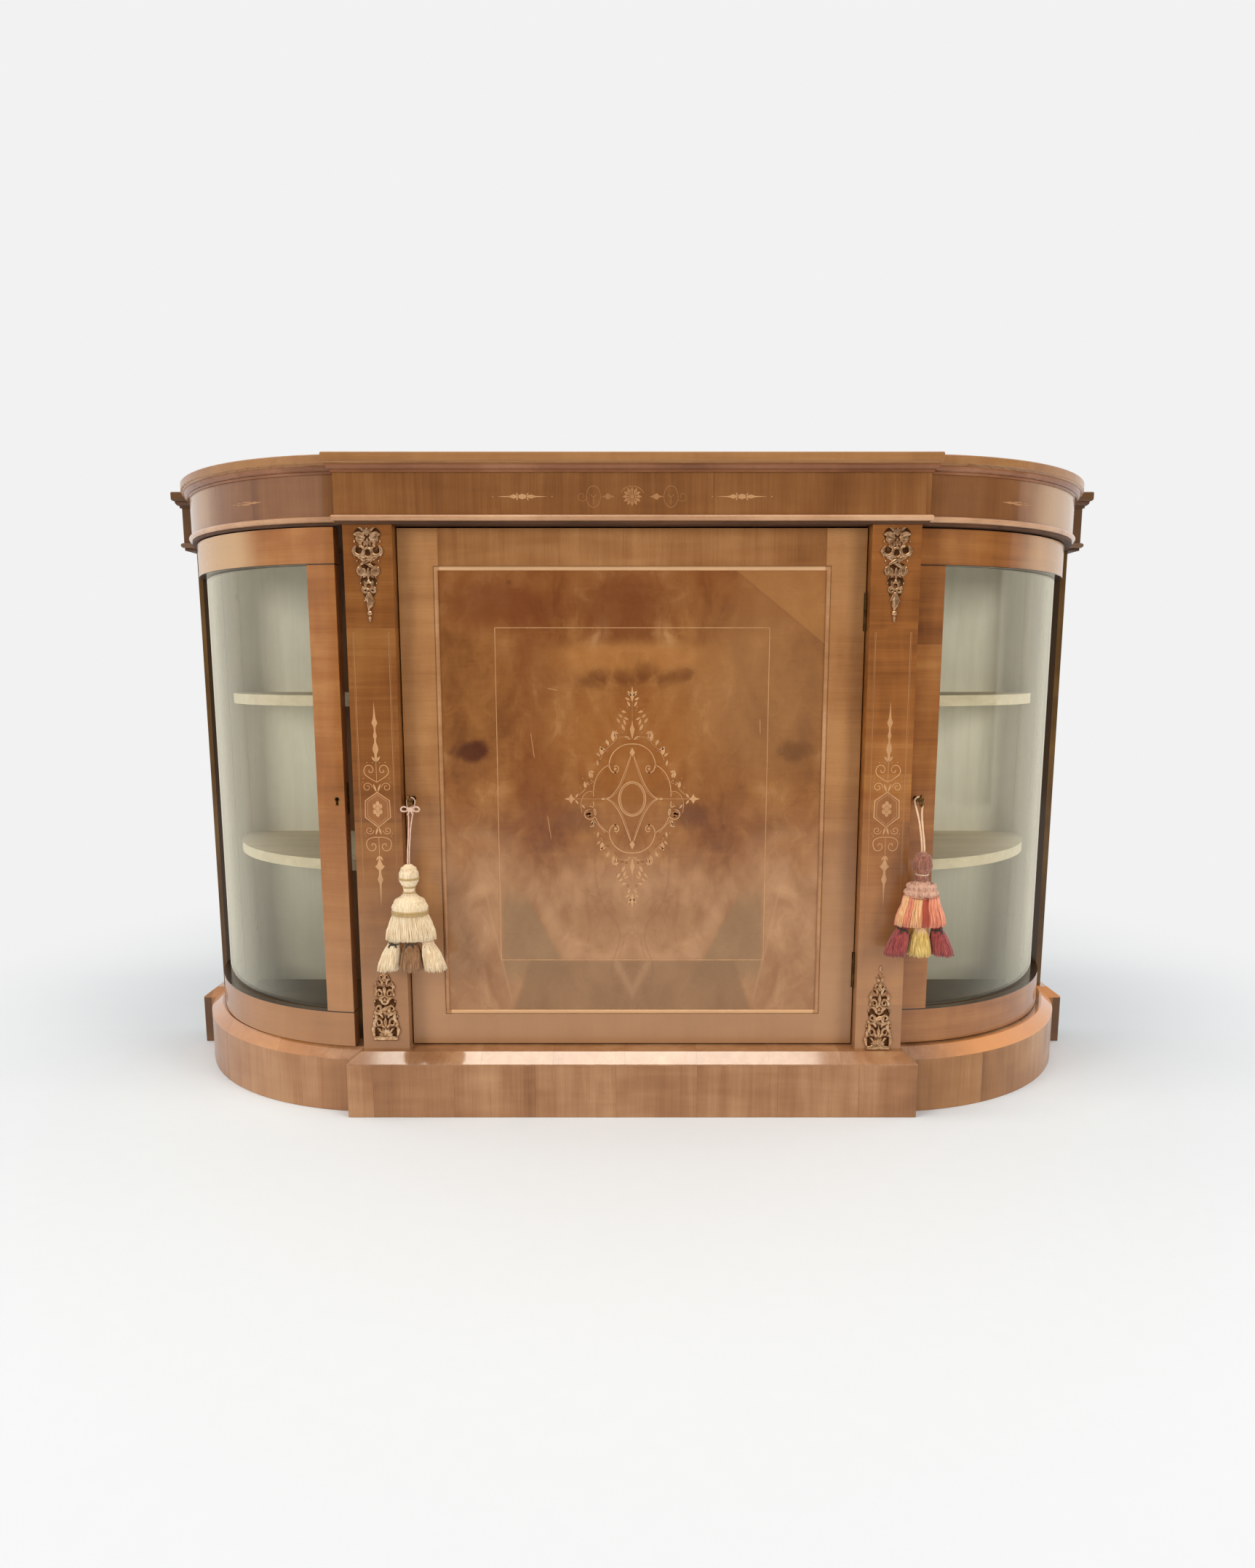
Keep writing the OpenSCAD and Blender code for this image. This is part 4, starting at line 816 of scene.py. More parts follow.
def tassel(name, body, slot, node, x, drop, l, mats, head, neck, ring, skirts, lowers, ties,
           seed):
    """A wound head, neck and ring over a skirt of strands, with three small tassels.
    Heights are shares of l, the whole length."""
    rand = random.Random(seed)
    shape = Shape()
    top = KEY_Z - drop

    def point(px, py, pz):
        return at(x + px, TASSEL_Y + py, top + pz)

    def oval(z, w, d, n, middle=0):
        return [point(middle + w * math.cos(a), d * math.sin(a), z) for a in angles(n, True)]

    def form(rows, n, ridges, depth, twist, mat, steps, low=None, thin=1.0, middle=upright):
        """A solid of oval rings with fine ridges."""
        z0, z1 = rows[0][0] if low is None else low, rows[-1][0]
        rings = []
        for k in range(steps + 1):
            z = z0 + (z1 - z0) * k / steps
            w, d = table(rows, z)
            rings.append([])
            for a in angles(n):
                q = 1 - depth * abs(math.sin(ridges / 2 * (a + twist * (z - z0))))
                rings[-1].append(point(middle(z) + w * thin * q * math.cos(a),
                                       d * thin * q * math.sin(a), z))
        shape.rings(rings, mat)

    def wraps(z, w, d, r, mat, turns=1):
        for k in range(turns):
            shape.tube(oval(z - k * r * 1.7, w, d, 40), r / 1000, 8, mat, 3, r * 0.0055, 0.25)

    def strand(rows, a, k, gather, heights, sways, radii, mat, middle=upright):
        """A strand down a form. It gathers towards the middle where a lock of silk ends."""
        line = []
        for j, (z, sway) in enumerate(zip(heights, sways)):
            w, d = table(rows, z)
            e = k - gather * min(1, j / 3)
            line.append(point(middle(z) + w * e * math.cos(a + sway),
                              d * e * math.sin(a + sway), z))
        shape.tube(line, radii, 5, mat)

    # Head: satin threads wound from pole to pole, a button on top, a twist under it
    r = 16
    form([(-0.205 * l, 9.8, 9.8), (-0.190 * l, r * 0.8, r * 0.8), (-0.150 * l, r, r),
          (-0.085 * l, r, r), (-0.035 * l, r * 0.8, r * 0.8), (-0.008 * l, r * 0.45, r * 0.45),
          (-0.001 * l, r * 0.3, r * 0.3)], 96, 48, 0.07, 0.035, head, 30)
    wraps(-0.010 * l, 4.4, 4.4, 1.5, mats["button"])
    wraps(-0.125 * l, 15.6, 15.6, 1.1, mats["band"], 2)
    # Neck of close turns, and a collar
    form([(-0.285 * l, 11, 11), (-0.262 * l, 9.4, 9.4), (-0.200 * l, 9.8, 9.8)],
         48, 24, 0.06, 0.2, neck, 10)
    wraps(-0.212 * l, 9.6, 9.6, 1.3, mats["button"])
    wraps(-0.258 * l, 9.8, 9.8, 1.3, mats["band"])
    # Dome, and the ring that the skirt hangs from
    if mats["roll"] is not None:
        form([(-0.430 * l, 26, 21), (-0.400 * l, 27, 21), (-0.345 * l, 24, 19),
              (-0.300 * l, 15, 13), (-0.272 * l, 10, 10)], 120, 60, 0.05, 0.012, ring, 20)
        for z, w, d, r in ((-0.385, 23.0, 18.2, 5.4), (-0.325, 19.6, 15.0, 5.2)):
            shape.tube(oval(z * l, w, d, 96), r / 1000, 16, mats["roll"], 3, 0.022, 0.34)
        wraps(-0.425 * l, 27.2, 21.2, 1.1, mats["band"])
        start = -0.415
    else:
        form([(-0.472 * l, 26, 21.4), (-0.440 * l, 28.6, 22.6), (-0.400 * l, 30, 23.2),
              (-0.340 * l, 25.6, 20.6), (-0.285 * l, 13.5, 12.6), (-0.272 * l, 10, 10)],
             120, 60, 0.05, 0.012, ring, 24)
        wraps(-0.432 * l, 28.6, 22.4, 1.5, mats["band"], 3)
        start = -0.458

    # Upper skirt: two layers of strands, over a core
    rows = [(-0.704 * l, 42, 23.4), (-0.640 * l, 40.4, 23.2), (-0.560 * l, 35.6, 22.6),
            (-0.500 * l, 31.0, 21.6), (start * l, 27.6, 21)]
    form([(z, w * 0.88, d * 0.88) for z, w, d in rows], 72, 36, 0.05, 0.0, skirts[0][2], 8)
    for layer, n in ((0, 92), (1, 84)):
        for i in range(n):
            a = 2 * pi * (i + 0.5 * layer + rand.uniform(-0.25, 0.25)) / n
            share = (a / (2 * pi)) % 1.0
            mat = next(m for lo, hi, m in skirts if lo <= share < hi)
            lock = abs(math.sin(7.5 * a + 0.8 * math.sin(3 * a + seed)))
            k = 0.985 - 0.035 * layer + rand.uniform(-0.012, 0.012)
            wave = rand.uniform(-0.5, 0.5)
            heights = [rows[-1][0] + (rows[0][0] - rows[-1][0]) * j / 6 for j in range(7)]
            heights[6] += rand.uniform(-0.6, 1.4)
            sways = [0.05 * wave * math.sin(j * 1.3 + wave * 5) for j in range(7)]
            strand(rows, a, k, 0.055 * (1 - lock), heights, sways, SKIRT_RADII, mat)
    # Small tassels: gathered and tied under the skirt, then flared
    for (x_top, x_foot, half, depth, mat), tie in zip(lowers, ties):
        z_top, z_foot, z_tie = -0.700 * l, -l, -0.738 * l
        rows = [(z_foot, half, depth), (-0.94 * l, half * 0.97, depth * 0.98),
                (-0.86 * l, half * 0.86, depth * 0.86), (-0.77 * l, half * 0.66, depth * 0.66),
                (-0.735 * l, half * 0.44, depth * 0.5), (z_top, half * 0.52, depth * 0.55)]

        def middle(z):
            t = (z - z_top) / (z_foot - z_top)
            return x_top + (x_foot - x_top) * t

        form(rows, 48, 24, 0.06, 0.0, mat, 12, z_foot * 0.985, 0.84, middle)
        n = 66
        for layer in (0, 1):
            for i in range(n):
                a = 2 * pi * (i + 0.5 * layer + rand.uniform(-0.3, 0.3)) / n
                k = 0.985 - 0.05 * layer + rand.uniform(-0.015, 0.01)
                lock = abs(math.sin(4.5 * a + 0.7 * math.sin(2 * a + x_top)))
                end = z_foot + rand.uniform(0.0, 4.2)
                heights = [z_top + (end - z_top) * j / 6 for j in range(7)]
                sways = [0.05 * math.sin(j * 1.7 + i) for j in range(7)]
                strand(rows, a, k, 0.09 * (1 - lock), heights, sways, SMALL_RADII, mat, middle)
        w, d = table(rows, z_tie)
        mid = middle(z_tie)
        for k in range(3):
            shape.tube(oval(z_tie + 1.8 - 1.8 * k, w + 0.3, d + 0.3, 30, mid), 0.0015, 7, tie,
                       3, 0.006, 0.2)
        # The tie's two ends, in front
        for s in (-1, 1):
            shape.tube(smoothed([point(mid + s * px, -d - py, z_tie - pz) for px, py, pz in (
                (1.2, 1.2, 0), (4.5, 2.2, 1.5), (6.4, 2.0, 5.5))], 4), 0.0013, 6, tie)
    shape.build(name, body, slot, mats["list"], replaces=[node])


# Shares of the skirt are counted from the right, over the back, to the left and the front
tassel("cream_tassel_strands", "cream_tassel_on_cord", "cream_silk", "cream_tassel",
       CENTRE_KEY_X, CREAM_DROP, CREAM_L,
       {"list": [m_cream, m_khaki, m_brown, m_tie], "button": 1, "band": 1, "roll": None},
       0, 0, 0, [(0.0, 1.0, 0)],
       [(-26, -39.5, 18, 19.8, 0), (26, 39.5, 18, 19.8, 0), (0, 0, 19.5, 21.4, 2)],
       [3, 0, 3], 11)
tassel("coral_tassel_strands", "coral_tassel_on_cord", "coral_silk", "coral_tassel",
       END_KEY_X, CORAL_DROP, CORAL_L,
       {"list": [m_coral, m_peach, m_red, m_gold, m_wine, m_rose, m_umber, m_rope, m_tie],
        "button": 7, "band": 6, "roll": 5}, 6, 6, 5,
       [(0.0, 0.16, 0), (0.16, 0.30, 1), (0.30, 0.36, 2), (0.36, 0.52, 0), (0.52, 0.60, 1),
        (0.60, 0.66, 0), (0.66, 0.735, 1), (0.735, 0.785, 2), (0.785, 1.0, 0)],
       [(-26, -39.5, 18, 19.8, 4), (26, 39.5, 18, 19.8, 4), (0, 0, 19.5, 21.4, 3)],
       [8, 8, 7], 12)


# ---------------------------------------------------------------- inlay
class Inlay:
    """Thin boxwood lines and leaves let into a face, a hair proud of it. Places are in units
    about a middle height, and mirrored by sx and sz. Widths of lines and radii are in mm."""

    def __init__(self, to_face, z=0, unit=1, mat=0):
        self.shape = Shape()
        self.to_face, self.z, self.unit, self.mat = to_face, z, unit, mat
        self.proud, self.deep = 0.16, 0.35
        self.mirror()

    def mirror(self, sx=1, sz=1):
        self.sx, self.sz = sx, sz

    def spot(self, x, z):
        return self.sx * x * self.unit, self.z + self.sz * z * self.unit

    def block(self, outline):
        n = len(outline)
        front = [self.to_face(x, z, -self.proud) for x, z in outline]
        rear = [self.to_face(x, z, self.deep) for x, z in outline]
        faces = [tuple(range(n)), tuple(reversed(range(n, 2 * n)))]
        faces += [(i, n + i, n + (i + 1) % n, (i + 1) % n) for i in range(n)]
        self.shape.add(front + rear, faces, self.mat)

    def solid(self, outline):
        self.block([self.spot(*p) for p in outline])

    def axial(self, rows):
        """A form about the upright axis, from rows of a height and a half width."""
        edge = [(w, z) for z, w in rows]
        self.solid(edge + [(-w, z) for w, z in reversed(edge[1:-1])])

    def level(self, edge):
        """A form about the level axis, from its upper edge."""
        self.solid(edge + [(x, -z) for x, z in reversed(edge[1:-1])])

    def line(self, points, width, closed=False):
        """A strip along points."""
        pts = [self.spot(*p) for p in points]
        n = len(pts)
        rings = []
        for i, (x, z) in enumerate(pts):
            a = pts[(i - 1) % n] if closed else pts[max(i - 1, 0)]
            b = pts[(i + 1) % n] if closed else pts[min(i + 1, n - 1)]
            dx, dz = b[0] - a[0], b[1] - a[1]
            d = math.hypot(dx, dz) or 1
            ox, oz = -dz / d * width / 2, dx / d * width / 2
            rings.append([self.to_face(x + s * ox, z + s * oz, y) for s, y in (
                (1, -self.proud), (-1, -self.proud), (-1, self.deep), (1, self.deep))])
        if closed:
            rings.append(rings[0])
        self.shape.rings(rings, self.mat, not closed)

    def leaf(self, x, z, angle, length, width, sharp=1.0):
        """A pointed leaf from (x, z), along an angle in degrees."""
        c, s = math.cos(math.radians(angle)), math.sin(math.radians(angle))
        edge = []
        for side in (1, -1):
            for k in range(7):
                t = k / 7 if side == 1 else 1 - k / 7
                w = self.sx * self.sz * side * width / 2 * math.sin(pi * t ** sharp)
                edge.append((x + c * length * t - s * w, z + s * length * t + c * w))
        self.solid(edge)

    def leaves(self, rows):
        for row in rows:
            self.leaf(*row)

    def dot(self, x, z, r, rz=None):
        x, z = self.spot(x, z)
        self.block([(x + r * math.cos(a), z + (rz or r) * math.sin(a)) for a in angles(12)])

    def dots(self, r, places):
        for x, z in places:
            self.dot(x, z, r)

    def arc(self, x, z, rx, rz, a0, a1, width, n=24):
        turns = [math.radians(a0 + (a1 - a0) * i / n) for i in range(n + 1)]
        pts = [(x + rx * math.cos(a), z + rz * math.sin(a)) for a in turns]
        whole = a1 - a0 == 360
        self.line(pts[:-1] if whole else pts, width, whole)

    def spiral(self, x, z, r0, r1, a0, a1, width, n=22):
        steps = [(r0 + (r1 - r0) * i / n, math.radians(a0 + (a1 - a0) * i / n))
                 for i in range(n + 1)]
        self.line([(x + r * math.cos(a), z + r * math.sin(a)) for r, a in steps], width)

    def bend(self, points, width):
        """A strip along a smooth curve through points."""
        self.line([(p[0], p[2]) for p in smoothed([(a, 0, b) for a, b in points], 5)], width)

    def build(self, name, body):
        self.shape.build(name, body, "walnut", [m_inlay, m_string, m_stained], smooth=False)


BOX, WORN, HEART = 0, 1, 2      # materials of an inlay


def panel_inlay():
    """Centre panel: a border line, and a motif about an oval."""
    panel = Inlay(lambda x, z, y: at(x, PANEL_Y + y, z))
    x, z0, z1 = 221, 257, 808
    for a, b in (((-x, z0), (x, z0)), ((-x, z1), (x, z1)), ((-x, z0), (-x, z1)),
                 ((x, z0), (x, z1))):
        panel.line([a, b], 1.1)
    panel.z, panel.unit = 531, 0.2664
    panel.arc(0, 0, 83, 107, 0, 360, 1.9, 48)
    panel.arc(0, 0, 73, 97, 0, 360, 1.3, 48)
    for sz in (1, -1):
        # Spears on the upright axis
        panel.mirror(1, sz)
        for z0, z1, w in ((368, 492, 30), (592, 694, 32)):
            panel.axial([(z0, 0), (z0 + (z1 - z0) * 0.2, w * 0.22), ((z0 + z1) / 2, w * 0.5),
                         (z0 + (z1 - z0) * 0.7, w * 0.16), (z1, 0)])
        panel.line([(0, 490), (0, 600)], 0.5)
        panel.axial([(262, 0), (285, 17), (318, 0)])
        panel.dots(0.9, [(0, 520), (0, 546), (0, 570)])
        for sx in (1, -1):
            # Sprays on the stem and round the arches: leaves with stained hearts
            panel.mirror(sx, sz)
            panel.leaves([
                (10, 640, 50, 30, 11), (14, 606, 28, 34, 12), (12, 566, 62, 38, 13),
                (34, 532, 12, 36, 13), (58, 500, 40, 34, 12), (22, 486, 30, 34, 12),
                (46, 420, 66, 46, 17), (84, 402, 24, 36, 14), (96, 372, 70, 38, 14),
                (142, 330, 62, 42, 15), (164, 306, 10, 34, 13), (196, 262, 44, 34, 13),
                (210, 204, 80, 38, 14), (232, 166, 12, 34, 12), (246, 130, 84, 34, 13),
                (262, 88, 24, 32, 11)])
            panel.mat = HEART
            for x, z, r in ((62, 396, 9), (100, 342, 8), (36, 402, 7), (150, 296, 8),
                            (26, 548, 6), (262, 112, 7), (196, 232, 7), (104, 160, 7)):
                panel.dot(x, z, r * panel.unit)
            panel.mat = BOX
            # Ogee lozenge, of two fine lines
            for e, width in ((0, 1.4), (13, 0.7)):
                panel.bend([(166 - e, 0), (138 - e, 12), (108 - e, 42), (76 - e * .8, 92),
                            (52 - e * .8, 150), (30 - e * .6, 210), (9, 268 - e)], width)
            # Arch, ending in a scroll
            panel.bend([(0, 340), (42, 336), (84, 316), (118, 284), (138, 240), (141, 206),
                        (130, 176), (108, 162), (88, 172), (84, 192), (96, 206), (112, 200)],
                       1.7)
            panel.dot(104, 186, 2.2)
            # The side arc that joins upper and lower arches
            panel.bend([(141, 214), (176, 190), (206, 158), (228, 112), (238, 60), (240, 14)],
                       1.3)
            for a in [math.radians(8 + 12 * k) for k in range(7)]:
                panel.dot(252 * math.cos(a) + 4, 236 * math.sin(a), 0.55)
            # Leaves round the arch
            panel.leaves([(116, 356, 88, 66, 26, 0.8), (182, 268, 76, 62, 24, 0.8),
                          (8, 366, 30, 46, 15), (40, 452, 72, 44, 15), (74, 466, 56, 40, 14),
                          (4, 634, 24, 26, 12)])
            panel.dots(0.75, [(52, 546), (70, 552), (30, 566), (150, 332), (165, 350),
                              (96, 420), (60, 408), (216, 240), (234, 214)])
            panel.bend([(20, 372), (60, 384), (92, 372), (118, 346), (150, 316), (178, 280),
                        (200, 232)], 0.6)
            # Beside the side palmettes there are scrolls below and sprays above
            panel.mirror(sx)
            if sz < 0:
                panel.mat = HEART
                panel.dot(266, -92, 6)
                panel.mat = BOX
                panel.spiral(266, -92, 48, 20, 90, 490, 1.5)
                panel.dot(264, -92, 2.0)
                panel.leaves([(292, -60, 50, 34, 12), (236, -140, 300, 36, 13)])
                panel.bend([(238, 40), (266, 46), (300, 22), (318, -30), (312, -86)], 0.8)
                panel.bend([(240, -128), (222, -152), (196, -180), (168, -212)], 0.9)
            else:
                panel.leaves([(258, 128, 82, 44, 18), (288, 64, 82, 46, 18)])
                panel.bend([(236, 100), (262, 118), (280, 80), (300, 50), (330, 24)], 0.8)
                panel.dots(0.8, [(252, 96), (306, 128), (322, 70)])
    for sx in (1, -1):
        panel.mirror(sx)
        panel.leaf(160, 0, 0, 40, 12)
        panel.line([(190, 0), (352, 0)], 0.6)
        panel.level([(348, 0), (366, 9), (378, 32), (390, 9), (420, 0)])
        panel.leaves([(352, -6, -126, 34, 12), (352, 6, 126, 34, 12)])
    panel.build("panel_inlay", "centre_door")


def pilaster_inlay(side, which):
    """Pilasters: two pairs of lines, and an upright motif about a hexagon."""
    pil = Inlay(lambda x, z, y: at(side * PIL_X + x, PIL_Y + y, z), mat=WORN)
    for x, width in ((-27.5, 0.9), (27.5, 0.9), (-29.5, 0.4), (29.5, 0.4)):
        pil.line([(x, 262), (x, 800)], width)
    pil.mat, pil.z, pil.unit = BOX, 519, 0.234
    pil.axial([(318, 0), (340, 9), (372, 8), (405, 20), (430, 16), (455, 7), (478, 6), (500, 13),
               (530, 6), (560, 7), (590, 20), (622, 9), (660, 5), (735, 0)])
    pil.axial([(-705, 0), (-600, 5), (-540, 7), (-505, 20), (-470, 9), (-440, 8), (-412, 34),
               (-400, 20), (-370, 8), (-330, 0)])
    pil.line([(0, 330), (0, 186)], 0.7)
    pil.line([(0, -330), (0, -200)], 0.7)
    for sx in (1, -1):
        pil.mirror(sx)
        pil.leaves([(3, 322, 56, 46, 15), (3, -336, -60, 40, 13)])
        pil.bend([(0, 182), (42, 206), (78, 236), (84, 268), (66, 296), (38, 296),
                  (22, 272), (30, 250), (48, 250), (50, 266)], 1.2)
        pil.bend([(0, -204), (42, -206), (80, -226), (86, -262), (68, -296),
                  (38, -298), (22, -276), (28, -254), (46, -250), (50, -266)], 1.2)
        pil.spiral(66, 146, 34, 8, 180, -290, 1.0)
        pil.spiral(62, -156, 30, 7, 180, 650, 1.0)
        pil.leaves([(4, 112, 70, 62, 14), (4, -134, -74, 56, 13)])
        pil.dots(0.7, [(24, 316), (62, 318), (92, 206), (96, 182), (88, -196), (96, -178)])
    pil.mirror()
    pil.mat, pil.proud = HEART, 0.08
    pil.axial([(110, 0), (51, 82), (-63, 86), (-132, 0)])
    pil.mat, pil.proud = BOX, 0.16
    for e, width in ((0, 1.7), (17, 0.6)):
        pil.line([(0, 112 - e), (84 - e, 52 - e * .4), (88 - e, -64 + e * .4), (0, -134 + e),
                  (-88 + e, -64 + e * .4), (-84 + e, 52 - e * .4)], width, True)
    for a in [pi / 2 + k * pi / 3 for k in range(6)]:
        pil.dot(23 * math.cos(a), -6 + 38 * math.sin(a), 13 * pil.unit, 17 * pil.unit)
    pil.dot(0, -6, 15 * pil.unit, 20 * pil.unit)
    pil.build("pilaster_inlay_" + which, "case")


def frieze_inlay():
    """Frieze: a rosette between buds and ovals, and a long spear each side."""
    fr = Inlay(lambda x, z, y: at(x, FRIEZE_Y + y, z), FRIEZE_Z, mat=WORN)
    fr.leaves([(4.2 * math.cos(a), 3.8 * math.sin(a), math.degrees(a), 11, 5.0, 0.7)
               for a in angles(12)])
    fr.dot(0, 0, 3.6)
    fr.arc(0, 0, 19, 15.5, 20, 160, 0.8)
    for sx in (1, -1):
        fr.mirror(sx)
        fr.mat = WORN
        fr.level([(27, 0), (33, 2.2), (38, 5), (42, 1.6), (49, 0)])
        fr.arc(60, 0, 11, 16, 0, 360, 0.8, 36)
        fr.arc(60, 5, 4.5, 5, 200, 340, 0.7)
        fr.line([(60, 0), (60, -12)], 0.7)
        fr.spiral(78, 0, 8, 3, 180, 580, 0.6)
        # The spears aren't mirrored
        fr.mirror()
        fr.mat = BOX
        c = sx * 170
        fr.level([(c - 40, 0), (c - 20, 1.0), (c - 14, 3.4), (c - 8, 1.5), (c, 4.2),
                  (c + 8, 1.5), (c + 14, 3.2), (c + 20, 1.0), (c + 40, 0)])
        for k in (-1, 1):
            fr.leaf(c + k * 6, 0, 90 - k * 30, 7, 2.0)
            fr.leaf(c + k * 6, 0, -90 + k * 30, 7, 2.0)
            fr.dot(c + k * 46, 0, 0.8)
    fr.build("frieze_inlay", "case")


def frieze_end_inlay(side, which):
    """One spear on the curved frieze. s is the run along its face."""
    end = Inlay(lambda s, z, y: at(side * (END_CX + (FRIEZE_R - y) * math.sin(s / FRIEZE_R)),
                                   CASE_D - (FRIEZE_R - y) * math.cos(s / FRIEZE_R), z),
                FRIEZE_Z, mat=WORN)
    rise = (0, 0.7, 1.0, 2.2, 1.2, 2.8, 3.0, 2.8, 1.2, 2.2, 1.0, 0.7, 0)
    end.level([(169 + 6 * k, h) for k, h in enumerate(rise)])
    end.build("frieze_end_inlay_" + which, "case")


SIDES = ((-1, "left"), (1, "right"))
panel_inlay()
for side, which in SIDES:
    pilaster_inlay(side, which)
frieze_inlay()
for side, which in SIDES:
    frieze_end_inlay(side, which)


# ---------------------------------------------------------------- gilt mounts
class Relief:
    """Cast leaves, scrolls and buds on a flat ground, facing the front, mirrored by s."""

    def __init__(self, x, y, z, stretch=1.0):
        self.shape = Shape()
        self.o = (x, y, z)
        self.stretch = stretch
        self.full = 1.28        # leaves and stems are fuller than their tables say
        self.s = 1

    def p(self, x, z, h):
        return at(self.o[0] + x, self.o[1] - h, self.o[2] + z * self.stretch)

    def both(self, *rows):
        """Draws rows of a method and its values on the left, and then on the right."""
        for s in (-1, 1):
            self.s = s
            self.draw(*rows)

    def draw(self, *rows):
        for form, *values in rows:
            form(*values)

    def ground(self, height, down, rows):
        """Dull plates behind the leaves: pairs of rounds, as in the part."""
        for far, half, r in rows:
            for s in (-1, 1):
                x, z, r_mm = s * half * MOUNT_W, down * far * height, r * MOUNT_W
                ring = [(x + r_mm * math.cos(a), z + r_mm * math.sin(a))
                        for a in angles(20)]
                self.shape.rings([[self.p(a, b, h) for a, b in ring] for h in (0, 0.9)], 1)

    def leaf(self, x0, z0, x1, z1, bend, width, height, lobes=0, sharp=0.75):
        """From one point to another, bowed by bend, with a sunk midrib and lobed edges."""
        x0, x1, bend = self.s * x0, self.s * x1, self.s * bend
        dx, dz = x1 - x0, z1 - z0
        d = math.hypot(dx, dz)
        nx, nz = -dz / d, dx / d
        m, n = 12, 8
        grid = []
        for i in range(m + 1):
            t = i / m
            bow = bend * math.sin(pi * t)
            cx, cz = x0 + dx * t + nx * bow, z0 + dz * t + nz * bow
            half = self.full * width / 2 * math.sin(pi * min(1, t * 0.96 + 0.04) ** sharp)
            half *= 1 - 0.28 * (0.5 - 0.5 * math.cos(2 * pi * lobes * t)) if lobes else 1
            for k in range(n + 1):
                s = -1 + 2 * k / n
                arch = (1 - s * s) ** 0.55
                h = height * (arch * (0.86 + 0.14 * abs(math.cos(1.5 * pi * s)))
                              - 0.26 * math.exp(-(s / 0.16) ** 2))
                h *= (0.35 + 0.65 * math.sin(pi * min(1, t * 0.9 + 0.1)) ** 0.6)
                grid.append(self.p(cx + nx * half * s, cz + nz * half * s,
                                   max(h, 0.05) + (0.6 if 0 < k < n else 0)))
        w = n + 1
        faces = [(i * w + k, i * w + k + 1, (i + 1) * w + k + 1, (i + 1) * w + k)
                 for i in range(m) for k in range(n)]
        self.shape.add(grid, faces)

    def fan(self, z, near, width, height, rows):
        """Leaves that spread from a point at z: an angle, and how wide and high they reach."""
        for angle, wide, high in rows:
            c, s = math.cos(math.radians(angle)), math.sin(math.radians(angle))
            self.leaf(c * near, z + s * near, c * wide, z + s * high, 0, width, height)

    def scroll(self, x, z, r0, r1, start, turn, w0, w1, height, n=26):
        """A half-round stem on a spiral, with a bud in its eye. Angles are from upright."""
        x, start, turn = self.s * x, 90 - self.s * start, self.s * turn
        rings = []
        for i in range(n + 1):
            t = i / n
            a = math.radians(start + turn * t)
            r = r0 + (r1 - r0) * t
            w = self.full * (w0 + (w1 - w0) * t)
            cx, cz = x + r * math.cos(a), z + r * math.sin(a)
            ring = []
            for k in range(9):
                b = pi * k / 8
                top = 0.4 + height * (0.7 + 0.24 * w / w0) * math.sin(b) ** 0.7
                ring.append(self.p(cx + w * math.cos(b) * math.cos(a),
                                   cz + w * math.cos(b) * math.sin(a), top if 0 < k < 8 else 0.0))
            rings.append(ring)
        self.shape.rings(rings)
        a = math.radians(start + turn)
        self.bud(self.s * (x + r1 * math.cos(a)), z + r1 * math.sin(a), w1 * 1.5, w1 * 1.5,
                 height * 1.1)

    def bud(self, x, z, rx, rz, height):
        x *= self.s
        rings = [[self.p(x + rx * math.cos(b) * math.cos(a), z + rz * math.cos(b) * math.sin(a),
                         height * math.sin(b)) for a in angles(14)]
                 for b in [pi / 2 * j / 6 for j in range(6)]]
        self.shape.rings(rings + [[self.p(x, z, height)] * 14], 0, False)

    def build(self, name, node):
        self.shape.build(name, "case", "gilt_bronze", [m_gilt, m_ground], replaces=[node])


